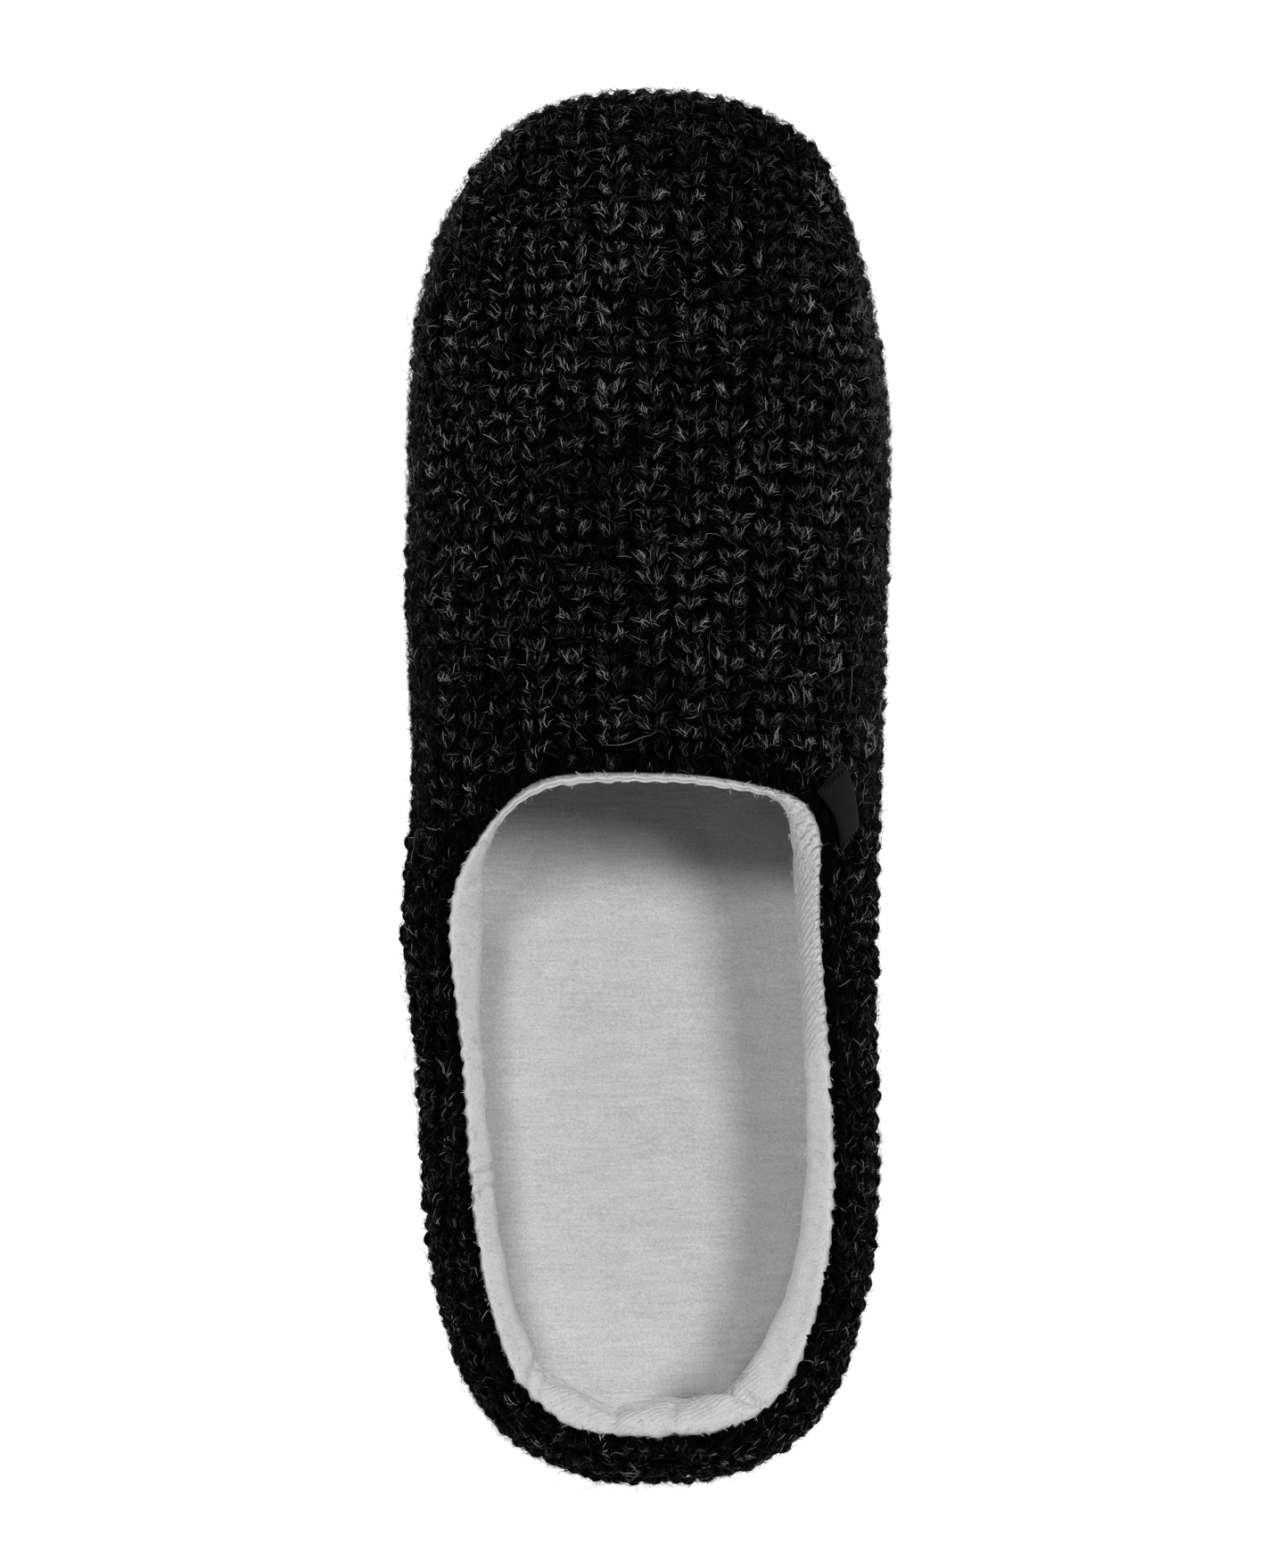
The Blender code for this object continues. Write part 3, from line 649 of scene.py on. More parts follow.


# marl: the yarn's paler stretches run over a few stitches. darkening() colours the knit darker round the opening and on
# the sides behind the throat, and adds painted shade on the outer side, away from the key
def darkening(places):
    # the factor on -x is painted shade: the outer side, away from the key, is coloured darker
    side = (0.33 + 0.67 * soften(places[:, 1], -12 * mm, 12 * mm)) * (1 - 0.55 * soften(-places[:, 0], 2 * mm, 32 * mm))
    return side * (0.3 + 0.7 * soften(fromRim(places), 2.5 * mm, 9 * mm))


cell["shade"] = np.clip(0.5 + 0.28 * ripple(cell["place"], 7, scale=9 * mm) + 0.16 * ripple(cell["place"], 8, scale=60 * mm), 0, 1)
cell["dark"] = darkening(cell["place"])
# the stitches beside the rim are narrower, so that they don't reach over the fleece
cell["room"] = np.minimum(cell["room"], 2.17 * np.maximum(fromRim(cell["place"]) - 0.3 * mm, 1.3 * mm))
front = cell["place"][:, 1] > 3 * mm
topLegs = [makeLegs(cell, hand, stitch, 50 + hand) for hand in (-1, 1)]
underLegs = [makeLegs(cell, hand, under, 60 + hand, knit["rowPitch"] / 2) for hand in (-1, 1)]
fineBead, coarseBead = beadShape(8, 7), beadShape(5, 5)
addPiece("knit_vamp", legsMesh("knit_vamp", topLegs, fineBead, front), yarn)
addPiece("knit_sides", legsMesh("knit_sides", topLegs, fineBead, ~front), yarn)
addPiece("knit_under", legsMesh("knit_under", underLegs, coarseBead, np.ones(len(front), bool)), underYarn)

# rim stitches: loops that turn over the edge at a slant, and the grafted seam down the heel

edgeStitch = {"pitch": 3.9 * mm, "radius": 1.15 * mm, "slant": 1.5 * mm, "sunk": 0.75 * mm, "tucked": 1.3 * mm}
draw = np.random.default_rng(31)
ringLine = rimPlaces[:, 2]
ringRun = np.concatenate([[0], np.cumsum(np.linalg.norm(np.diff(np.vstack([ringLine, ringLine[:1]]), axis=0), axis=1))])
loops = int(round(ringRun[-1] / edgeStitch["pitch"]))
at = (np.arange(loops) + draw.uniform(-0.12, 0.12, loops)) / loops * ringRun[-1]


def alongRim(rings, run):
    # rings is (columns, steps, 3); run gives a place along the rim for each loop and step
    closed = np.concatenate([rings, rings[:1]])
    return np.stack([
        np.stack([np.interp(run[:, j] % ringRun[-1], ringRun, closed[:, j, k]) for k in range(3)], -1)
        for j in range(rings.shape[1])
    ], 1)


steps = np.linspace(-0.5, 0.5, len(rimTilts))
lean = np.where(np.interp(at, ringRun[:-1], ringLine[:, 0]) < 0, -1, 1)
run = at[:, None] + steps[None] * edgeStitch["slant"] * lean[:, None] * 2
lines, normals = alongRim(rimPlaces, run), unit(alongRim(rimNormals, run))
# the loops' inner ends go under the fleece
rise = -edgeStitch["sunk"] + 0.5 * mm * np.sin(math.pi * np.linspace(0.05, 0.95, len(steps))) - edgeStitch["tucked"] * (1 - soften(steps, -0.5, 0))
lines = lines + normals * rise[None, :, None]
radii = edgeStitch["radius"] * draw.normal(1, 0.08, loops)
addPiece("knit_rim", sweptBeads("knit_rim", lines, normals, radii, beadShape(8, 9), draw.uniform(0, 0.3, loops)), yarn)

seamHeading = unit(np.array([knit["seamX"], -43 * mm, 0]))
seamSection = sectionAt(np.array([0, knit["heelY"], level]), seamHeading)
seamRun = np.arange(knit["soleRoom"], lengthsAlong(seamSection)[-1] - 1.5 * mm, 3.4 * mm)
seamSpots = [onSkin(spot) for spot in readLine(seamSection, seamRun)]
seamSide = np.cross(seamHeading, up)
lines = np.array([
    [place + seamSide * t * 4.8 * mm + up * t * 1.6 * mm - n * (1.5 + 1.6 * t * t) * mm for t in np.linspace(-0.5, 0.5, 5)]
    for place, n in seamSpots
])
normals = np.repeat(np.array([n for _, n in seamSpots])[:, None], 5, 1)
addPiece("knit_seam", sweptBeads("knit_seam", lines, normals, np.full(len(lines), 1.15 * mm), beadShape(7, 7), np.full(len(lines), 0.2)), yarn)

# the shell under the stitches: the knit's body with its outside drawn in
shell = {"drawnIn": 1.5 * mm, "lessWhereCalm": 0.7 * mm}
shellMesh = smoothCopy("upper", 1)
shellPoints, shellNormals = pointsOf(shellMesh), normalsOf(shellMesh)
core = np.stack([np.zeros(len(shellPoints)), np.clip(shellPoints[:, 1], -95 * mm, 95 * mm), np.full(len(shellPoints), 27 * mm)], 1)
outwards = soften(np.einsum("ij,ij->i", shellNormals, unit(shellPoints - core)), -0.1, 0.5)
# along the rim both faces go in, so that the shell stays under the fleece and the loops
outwards = np.maximum(outwards, 0.6 * (1 - soften(fromRim(shellPoints), 2.5 * mm, 6 * mm)))
drawnIn = shell["drawnIn"] - shell["lessWhereCalm"] * calmness(shellPoints, shellNormals)
setPoints(shellMesh, shellPoints - shellNormals * (drawnIn * outwards)[:, None])
shellMesh.shade_smooth()
setAttribute(shellMesh, "fibre", shellPoints / mm)
setAttribute(shellMesh, "tone", np.zeros(len(shellPoints)))
addPiece("knit_body", shellMesh, underYarn, ["upper"])

# loose fibres: they follow the yarn's twist, and a few thousand stray over the whole knit

fuzz = {
    "perLeg": 22, "perSideLeg": 15, "width": 0.125 * mm, "span": 0.42, "lift": 0.1 * mm,
    "strays": 24000, "strayLength": 1.8 * mm, "strayWidth": 0.1 * mm, "long": 200, "longLength": 8 * mm,
    "haze": 17000, "hazeLength": 1.5 * mm,
}


def fibresOn(sets, chosen, perLeg, seed):
    draw = np.random.default_rng(seed)
    lines, normals, shades = [], [], []
    for legs in sets:
        pick = np.repeat(np.nonzero(chosen)[0], perLeg)
        count = len(pick)
        start = draw.uniform(0.02, 0.66, count)[:, None]
        t = np.clip(start + np.linspace(0, 1, 4)[None] * draw.uniform(0.5, 1.3, count)[:, None] * fuzz["span"], 0.02, 0.97)
        spin = legs["hand"] * draw.normal(0.5, 0.6, count)[:, None]
        angle = draw.uniform(0.15, math.pi - 0.15, count)[:, None] + spin * (t - start) * 2
        lift = fuzz["lift"] + draw.exponential(0.16 * mm, count)[:, None] * np.linspace(0.3, 1, 4)[None]
        line = legSurface(legs, pick, t, angle, lift)
        line += draw.normal(0, 0.22 * mm, line.shape) * np.linspace(0.4, 1, 4)[None, :, None]
        # some leave the yarn sideways
        drift = draw.normal(0, 0.6 * mm, (count, 1, 3)) * np.linspace(0, 1, 4)[None, :, None] ** 2
        line += drift
        middle = legLine(legs, pick, t)
        lines.append(line)
        normals.append(unit(line - middle))
        # where darkening() makes the knit darker, fewer of the fibres are pale ones; on the outer side that is painted
        # shade
        pale = draw.random(count) < 0.3 + 0.7 * cell["dark"][pick]
        shade = (0.16 + 0.68 * legs["tone"][pick] / cell["dark"][pick]) * draw.uniform(0, 1.9, count)
        shades.append(np.clip(shade * np.where(pale, 1, 0.15), 0, 1))
    return np.concatenate(lines), np.concatenate(normals), np.concatenate(shades)


hair, hairTree, hairShader = newMaterial("looseFibre", Roughness=0.8, Specular_IOR_Level=0.06)
hairShade = ramp(hairTree, addNode(hairTree, "ShaderNodeAttribute", attribute_name="tone").outputs["Fac"], [
    (0.0, colour("#010101")), (0.35, colour("#262626")), (0.7, colour("#626262")), (1.0, colour("#A8A8A8")),
])
hairTree.links.new(hairShade, hairShader.inputs["Base Color"])
for name, chosen, perLeg, seed in (("fibres_vamp", front, fuzz["perLeg"], 71), ("fibres_sides", ~front, fuzz["perSideLeg"], 72)):
    lines, normals, shades = fibresOn(topLegs, chosen, perLeg, seed)
    addPiece(name, stripsMesh(name, lines, normals, np.full(len(lines), fuzz["width"]), shades), hair)

draw = np.random.default_rng(73)
places, normals = spotsOver(skin, outside, fuzz["strays"], 74)
above = np.array([aboveSole(place) for place in places]) > 1.0 * mm
places, normals = places[above], normals[above]
count = len(places)
lines = hairLines(places - normals * draw.uniform(0, 0.9 * mm, count)[:, None], normals, fuzz["strayLength"] * draw.uniform(0.5, 1.5, count), draw.uniform(0.1, 0.6, count), 3, draw)
# fewer stray fibres are pale where darkening() is low; on the outer side this is painted shade
shades = np.clip(draw.beta(1.6, 2.4, count) * np.where(draw.random(count) < 0.35 + 0.65 * darkening(places), 1, 0.3), 0, 1)
addPiece("fibres_stray", stripsMesh("fibres_stray", lines, unit(draw.normal(size=lines.shape[:1] + (1, 3))), np.full(count, fuzz["strayWidth"]), shades), hair)

# a haze of short fibres stands out from the steep front and sides, and softens the outline
steepFront = outside & (skinNormals[:, 2] < 0.45) & (skinPoints[:, 1] > -10 * mm)
places, normals = spotsOver(skin, steepFront, fuzz["haze"], 76)
above = np.array([aboveSole(place) for place in places]) > 1.0 * mm
places, normals = places[above], normals[above]
count = len(places)
lines = hairLines(places - normals * draw.uniform(0, 0.6 * mm, count)[:, None], normals, fuzz["hazeLength"] * draw.uniform(0.5, 1.4, count), draw.uniform(0.1, 0.7, count), 3, draw)
shades = draw.uniform(0.25, 0.7, count) * (0.4 + 0.6 * soften(places[:, 1], 30 * mm, 80 * mm))
addPiece("fibres_haze", stripsMesh("fibres_haze", lines, unit(draw.normal(size=(count, 1, 3))), np.full(count, fuzz["strayWidth"]), shades), hair)

places, normals = spotsOver(skin, outside, fuzz["long"], 75)
count = len(places)
lines = hairLines(places + normals * 0.3 * mm, normals, fuzz["longLength"] * draw.uniform(0.4, 1.2, count), draw.uniform(-0.05, 0.25, count), 9, draw)
lines += np.cumsum(draw.normal(0, 0.16 * mm, lines.shape), 1)
addPiece("fibres_long", stripsMesh("fibres_long", lines, unit(draw.normal(size=(count, 1, 3))), np.full(count, 0.12 * mm), draw.uniform(0.3, 0.8, count)), hair)


# fleece collar: a padded band that stands on the footbed and rolls over the knit's edge

# brushed polyester fleece: matt, pale grey, a short dense nap that catches light at its edges
def fleeceMaterial(name, light, dark, ribs, grain):
    material, tree, shader = newMaterial(
        name, Roughness=0.95, Specular_IOR_Level=0.15, Sheen_Weight=0.15, Sheen_Roughness=0.6,
    )
    spot = addNode(tree, "ShaderNodeTexCoord").outputs["Object"]
    # tufts of nap about 0.4 mm across, and brushed patches of 8 mm
    nap = addNode(tree, "ShaderNodeTexNoise", {"Vector": spot, "Scale": 2400.0, "Detail": 1.0, "Roughness": 0.6}).outputs["Fac"]
    patch = addNode(tree, "ShaderNodeTexNoise", {"Vector": spot, "Scale": 120.0, "Detail": 3.0}).outputs["Fac"]
    patch = addNode(tree, "ShaderNodeMath", {0: patch, 1: 0.3}, operation="MULTIPLY").outputs["Value"]
    mixed = addNode(tree, "ShaderNodeMath", {0: nap, 1: grain, 2: patch}, operation="MULTIPLY_ADD").outputs["Value"]
    height = nap
    if ribs:
        # velour's fine ribs lie across the foot, 0.6 mm apart and a little slanted
        turned = addNode(tree, "ShaderNodeMapping", {"Vector": spot, "Rotation": (0, 0, 0.035), "Scale": (150, 1500, 150)}).outputs["Vector"]
        rib = addNode(tree, "ShaderNodeTexNoise", {"Vector": turned, "Scale": 1.0, "Detail": 1.0}).outputs["Fac"]
        mixed = addNode(tree, "ShaderNodeMath", {0: rib, 1: 0.3, 2: mixed}, operation="MULTIPLY_ADD").outputs["Value"]
        height = addNode(tree, "ShaderNodeMath", {0: rib, 1: 1.3, 2: nap}, operation="MULTIPLY_ADD").outputs["Value"]
    middle = 0.15 + 0.5 * grain + (0.15 if ribs else 0)
    shade = ramp(tree, mixed, [(middle - 0.35, colour(dark)), (min(1.0, middle + 0.35), colour(light))])
    tree.links.new(shade, shader.inputs["Base Color"])
    relief = addNode(tree, "ShaderNodeBump", {"Height": height, "Strength": 0.55, "Distance": 0.0003})
    if not ribs:
        # close slanting wrinkles where the collar is gathered round a corner, 1.1 mm apart
        mask = addNode(tree, "ShaderNodeAttribute", attribute_name="gathered").outputs["Fac"]
        slant = addNode(tree, "ShaderNodeMapping", {"Vector": spot, "Rotation": (0.5, 0.25, -0.55)}).outputs["Vector"]
        wave = addNode(
            tree, "ShaderNodeTexWave", {"Vector": slant, "Scale": 290.0, "Distortion": 2.2, "Detail": 1.0, "Detail Scale": 2.0},
            bands_direction="Y",
        ).outputs["Fac"]
        deep = addNode(tree, "ShaderNodeMath", {0: wave, 1: mask}, operation="MULTIPLY").outputs["Value"]
        folds = addNode(tree, "ShaderNodeBump", {"Height": deep, "Strength": 0.9, "Distance": 0.0005}).outputs["Normal"]
        tree.links.new(folds, relief.inputs["Normal"])
    tree.links.new(relief.outputs["Normal"], shader.inputs["Normal"])
    return material


liningFleece = fleeceMaterial("brushedFleece", "#F4F4F4", "#CACACA", False, 0.8)
footbedVelour = fleeceMaterial("footbedVelour", "#E4E4E4", "#B2B2B2", True, 0.8)

# all by the angle round the opening in degrees (0 the big toe's side, 90 the toe) and millimetres:
# brink is how far out the band's inner edge stands, lap how far the band covers the knit, puff how far it swells
collar = {
    "brink": [
        (-180, 32.1), (-160, 33.6), (-150, 36.0), (-140, 39.9), (-130, 45.3), (-120, 52.9), (-115, 57.4), (-112, 61.1),
        (-108, 62.6), (-104, 63.6), (-100, 65.6), (-96.5, 66.9), (-94, 66.2), (-90, 64.8), (-86, 64.3), (-80, 65.2), (-77, 65.6),
        (-75, 64.4), (-72, 62.1), (-68, 59.4), (-60, 53.7), (-50, 47.1), (-40, 41.3), (-30, 37.4), (-20, 34.7), (-10, 32.8),
        (0, 32.0), (10, 32.0), (20, 33.1), (30, 35.4), (40, 39.1), (50, 45.8), (55, 51.0), (60, 57.0), (63, 60.2), (66, 61.6),
        (118, 59.4), (122, 57.6), (126, 54.8), (130, 49.8), (135, 45.5), (140, 42.2), (150, 38.0), (160, 35.0), (170, 33.1),
    ],
    "lap": [
        (-180, 0.4), (-140, 0.4), (-120, 0.8), (-112, 1.1), (-100, 1.1), (-90, 0.5), (-80, 0.6), (-74, 1.0), (-66, 1.0),
        (-50, 0.9), (-30, 0.7), (0, 0.6), (30, 0.4), (55, 0.4), (70, -0.4), (112, -0.4), (125, 0.3), (140, 0.6), (160, 0.4),
    ],
    "puff": [
        (-180, 0.5), (-130, 0.5), (-116, 0.8), (-108, 1.1), (-100, 1.0), (-96, 0.4), (-93, 1.6), (-84, 2.3), (-78, 2.1),
        (-73, 0.4), (-66, 0.1), (-30, 0.3), (0, 0.6), (20, 1.0), (40, 1.4), (58, 1.4), (66, 0.8), (75, 0.3), (115, 0.3),
        (124, 0.5), (150, 0.4),
    ],
    "throatRoll": 0.6 * mm, "slope": 0.95, "photoLevel": 16.5 * mm, "underVamp": 18 * mm, "scallop": 0.22 * mm,
}
insoleTree = treeOf(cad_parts["insole"].data)


def byAngle(pairs):
    angles, sizes = np.array(pairs).T
    return roundMean(np.interp(degrees, angles, sizes, period=360) * mm, 2)


foot, lap, puff = (byAngle(collar[key]) for key in ("brink", "lap", "puff"))
loopRun = np.concatenate([[0], np.cumsum(np.linalg.norm(np.diff(ringLine, axis=0), axis=1))])
edge = innerEdge + lap + collar["scallop"] * np.sin(loopRun * 2 * math.pi / edgeStitch["pitch"])
edgeHeight = roundMean(np.array([
    max(heightAt(skinTree, planSpot(k, edge[k] + 0.3 * mm)), heightAt(skinTree, planSpot(k, innerEdge[k] + 1.2 * mm)) - 0.4 * mm)
    for k in columns
]), 2)
vampSide = soften(degrees, 60, 68) * (1 - soften(degrees, 116, 124))
profile = []
for k in columns:
    def wallOut(height):
        place = skinTree.ray_cast(Vector(planSpot(k, 0, height)), Vector(ways[k]))[0]
        return 60 * mm if place is None else min((place - Vector(planSpot(k, 0, height))).length - 0.4 * mm, 100 * mm)

    def ceiling(radius):
        place = skinTree.ray_cast(Vector(planSpot(k, radius, 20 * mm)), Vector(up))[0]
        return edgeHeight[k] - 4 * mm if place is None else place.z

    r, z, p = edge[k], edgeHeight[k] + 0.25 * mm, puff[k]
    # the brink is nearer the camera than the footbed, so it stands a little further in
    brinkAt = (opening["middle"] + ways[k, :2] * foot[k]) * (1 - (z - 5 * mm - collar["photoLevel"]) / 2) - opening["middle"]
    brink = min(brinkAt @ ways[k, :2], r - 0.9 * mm)
    brink = (1 - vampSide[k]) * brink + vampSide[k] * (r - collar["throatRoll"])
    wide = r - brink
    drop = collar["slope"] * wide + 0.4 * mm
    floorHeight = heightAt(insoleTree, planSpot(k, foot[k])) if vampSide[k] < 1 else 16 * mm
    floorHeight = max(floorHeight, 15 * mm) + 0.2 * mm
    middleHeight = (z - drop + floorHeight) / 2
    wall = [
        np.array([brink + 0.9 * mm, z - drop - 2.2 * mm]), np.array([brink + 2.0 * mm, middleHeight]),
        np.array([brink + 1.6 * mm, floorHeight]), np.array([brink + 2.9 * mm, floorHeight - 0.5 * mm]),
        np.array([max(wallOut(22 * mm), brink + 4 * mm), 19 * mm]), np.array([max(wallOut(34 * mm), brink + 3 * mm), 34 * mm]),
        np.array([max(wallOut(z - 7 * mm), brink + 2 * mm), z - 7 * mm]),
    ]
    if vampSide[k] > 0:
        deep = min(collar["underVamp"], wallOut(45 * mm) - innerEdge[k] - 3 * mm)
        outs = [innerEdge[k] + deep * t for t in (0.15, 0.55, 1.0)]
        below = [np.array([out, ceiling(out) - 2.3 * mm]) for out in outs]
        aloft = [np.array([out, ceiling(out) - 0.9 * mm]) for out in outs]
        far = below[2] * 0.5 + aloft[2] * 0.5 + np.array([0.6 * mm, 0])
        flap = below + [far, aloft[2], aloft[1], aloft[0]]
        wall = [(1 - vampSide[k]) * a + vampSide[k] * b for a, b in zip(wall, flap)]
    profile.append([
        (r + 0.9 * mm, z - 2.4 * mm), (r + 0.45 * mm, z - 0.3 * mm), (r - 0.10 * wide, z + 0.25 * mm + 0.25 * p),
        (r - 0.45 * wide, z - 0.25 * drop + 0.75 * p), (r - 0.85 * wide, z - 0.62 * drop + 0.6 * p), (brink, z - drop - 0.1 * mm),
    ] + [tuple(point) for point in wall])
profile = np.array(profile)


def curveThrough(controls, perSpan):
    # a closed smooth line through the controls, (columns, controls, 2)
    before, after, beyond = (np.roll(controls, shift, 1) for shift in (1, -1, -2))
    rows = []
    for t in np.arange(perSpan) / perSpan:
        rows.append(0.5 * (
            2 * controls + (after - before) * t + (2 * before - 5 * controls + 4 * after - beyond) * t ** 2
            + (3 * controls - before - 3 * after + beyond) * t ** 3
        ))
    return np.stack(rows, 2).reshape(len(controls), -1, 2)


section = curveThrough(profile, 3)
for reach in (1, 1):
    section = np.stack([np.stack([roundMean(section[:, j, k], reach) for k in range(2)], -1) for j in range(section.shape[1])], 1)
places = np.concatenate([
    opening["middle"] + ways[:, None, :2] * section[..., :1], section[..., 1:],
], -1)

# folds, listed one by one: (angle, its reach in degrees, depth in mm, first and last row of the section)
tangents = unit(np.roll(places, -1, 1) - np.roll(places, 1, 1))
sideways = unit(np.roll(places, -1, 0) - np.roll(places, 1, 0))
outward = unit(np.cross(tangents, sideways))
if outward[0, 8, 2] < 0:
    outward = -outward
collarFolds = [
    (-85.3, 0.6, -0.8, 2, 18), (-95.6, 0.9, -0.9, 4, 24), (-88.5, 1.6, 0.35, 3, 16), (-79.5, 1.5, 0.3, 3, 18),
    (-103, 2.4, 0.45, 3, 22), (-108.5, 1.0, -0.7, 4, 24), (-111.5, 0.9, -0.9, 5, 30), (-114, 1.2, 0.4, 3, 24),
    (-62, 3.0, 0.2, 6, 24), (-147, 0.9, -0.3, 3, 22), (-149.5, 0.8, 0.3, 3, 22),
    (-152, 0.9, -0.3, 4, 20), (-155, 1.1, 0.25, 4, 20), (124.5, 1.0, -0.35, 3, 18), (59, 1.1, -0.3, 3, 14),
]
rowsAt = np.arange(places.shape[1])
shift = np.zeros(places.shape[:2])
for angle, reach, depth, first, last in collarFolds:
    gap = (degrees - angle + 180) % 360 - 180
    band = soften(rowsAt, first - 3, first + 1) * (1 - soften(rowsAt, last - 2, last + 4))
    shift += depth * mm * np.exp(-(gap / reach) ** 2)[:, None] * band[None]
# the crease that parts the heel's roll from the smooth panel runs aslant, from the brink to the knit
creaseAt = -69.5 - 6.5 * np.clip((rowsAt - 5) / 10, 0, 1)
creased = soften(rowsAt, 3, 6) * (1 - soften(rowsAt, 15, 18))
shift -= 1.9 * mm * np.exp(-((degrees[:, None] - creaseAt[None]) / 0.75) ** 2) * creased[None]
shift += 0.8 * mm * np.exp(-((degrees[:, None] - creaseAt[None] + 2.4) / 2.0) ** 2) * creased[None]
visible = soften(rowsAt, 3, 6) * (1 - soften(rowsAt, 24, 27))
soft = ripple(places.reshape(-1, 3), 81, scale=7 * mm).reshape(shift.shape)
fine = ripple(places.reshape(-1, 3), 82, scale=2.6 * mm).reshape(shift.shape)
heelward = soften(-np.abs((degrees + 92 + 180) % 360 - 180), -30, -15)[:, None]
shift += (soft * (0.08 + 0.14 * heelward) + fine * (0.03 + 0.03 * heelward)) * mm * visible[None]
places = places + outward * shift[..., None]
gathered = np.maximum(soften(degrees, 2, 30) * (1 - soften(degrees, 66, 74)), 0.35 * bump(degrees, -150, 7))[:, None] * (1 - soften(rowsAt, 12, 16))[None]
gathered = np.maximum(gathered, 0.25 * heelward * (1 - soften(rowsAt, 18, 24))[None])

closedPlaces = np.concatenate([places, places[:, :1]], 1)
closedPlaces = np.concatenate([closedPlaces, closedPlaces[:1]])
mask = np.concatenate([gathered, gathered[:, :1]], 1)
mask = np.concatenate([mask, mask[:1]])
collarMesh = gridMesh("collar_fleece", closedPlaces, {"gathered": mask})
collarPiece = addPiece("collar_fleece", collarMesh, liningFleece, ["collar_lining"])

# the fleece's longest tufts, which blur its edges
tuft, tuftTree, tuftShader = newMaterial("fleeceTuft", Roughness=0.9, Specular_IOR_Level=0.1)
tuftTree.links.new(
    ramp(tuftTree, addNode(tuftTree, "ShaderNodeAttribute", attribute_name="tone").outputs["Fac"], [(0.0, colour("#C4C4C4")), (1.0, colour("#F2F2F2"))]),
    tuftShader.inputs["Base Color"],
)
draw = np.random.default_rng(85)
upper = pointsOf(collarMesh)[:, 2] > 38 * mm
spots, normals = spotsOver(collarMesh, upper, 9000, 86)
if np.einsum("ij,ij->i", normals, spots - np.array([*opening["middle"], 25 * mm])).mean() > 0 and normals[:, 2].mean() < 0:
    normals = -normals
lines = hairLines(spots, normals, 0.75 * mm * draw.uniform(0.5, 1.5, len(spots)), draw.uniform(0.3, 1.2, len(spots)), 3, draw)
addPiece("fleece_tufts", stripsMesh("fleece_tufts", lines, unit(draw.normal(size=(len(spots), 1, 3))), np.full(len(spots), 0.12 * mm), draw.random(len(spots))), tuft)

# lining under the vamp: the same fleece on the knit's inner face
form = bmesh.new()
form.from_mesh(smoothCopy("upper", 1))
form.faces.ensure_lookup_table()
rest = []
for face in form.faces:
    centre = np.array(face.calc_center_median())
    towards = np.array([0, np.clip(centre[1], -95 * mm, 95 * mm), 27 * mm]) - centre
    inner = np.dot(np.array(face.normal), towards) > 0
    if not inner or centre[1] < -22 * mm or rimFinder.find(Vector(centre))[2] < 5 * mm:
        rest.append(face)
bmesh.ops.delete(form, geom=rest, context="FACES")
vampLiningMesh = bpy.data.meshes.new("vamp_lining")
form.to_mesh(vampLiningMesh)
form.free()
setPoints(vampLiningMesh, pointsOf(vampLiningMesh) + normalsOf(vampLiningMesh) * 0.7 * mm)
vampLiningMesh.shade_smooth()
vampLining = addPiece("vamp_lining", vampLiningMesh, liningFleece)

# footbed: foam under velour, with the faint creases that feet leave (from, to, depth and reach in mm)
footbedCreases = [
    ((-20.5, -116.0), (-12.5, -119.0), -0.5, 0.9), ((-19.0, -119.0), (-13.0, -121.5), -0.4, 0.8),
    ((-15.5, -23.5), (-14.0, -26.5), -0.35, 0.9), ((0.0, -122.5), (8.5, -124.0), -0.4, 2.2),
    ((-24.0, -33.0), (-18.0, -36.0), -0.25, 1.2), ((5.0, -95.0), (14.0, -99.0), 0.3, 3.0),
]
footbedMesh = smoothCopy("insole", 2)
spots = pointsOf(footbedMesh)
press = 0.12 * ripple(spots, 91, scale=26 * mm) + 0.05 * ripple(spots, 92, scale=7 * mm)
for start, end, depth, reach in footbedCreases:
    start, end = np.array(start) * mm, np.array(end) * mm
    t = np.clip((spots[:, :2] - start) @ (end - start) / ((end - start) @ (end - start)), 0, 1)
    away = np.linalg.norm(spots[:, :2] - start - t[:, None] * (end - start), axis=1)
    press += depth * np.exp(-(away / (reach * mm)) ** 2)
# the footbed falls away a little where it meets the collar
fromMiddle = spots[:, :2] - opening["middle"]
turned = np.degrees(np.arctan2(fromMiddle[:, 1], fromMiddle[:, 0]))
gap = np.interp(turned, degrees, foot, period=360) - np.linalg.norm(fromMiddle, axis=1)
heelOrLeft = np.maximum(1 - soften(turned, -40, -10), soften(turned, 130, 145)) * (np.abs(turned - 50) > 80)
press -= 2.1 * soften(-gap / mm, -7.5, 0.5) * heelOrLeft
topSide = soften(normalsOf(footbedMesh)[:, 2], 0.3, 0.8)
spots[:, 2] += press * mm * topSide
setPoints(footbedMesh, spots)
footbedMesh.shade_smooth()
footbedPiece = addPiece("footbed", footbedMesh, footbedVelour, ["insole"])

# side tag: polyester tape woven in twill, black, its face left bare
tape, tapeTree, tapeShader = newMaterial("wovenTape", Roughness=0.8, Specular_IOR_Level=0.08)
spot = addNode(tapeTree, "ShaderNodeTexCoord").outputs["Object"]
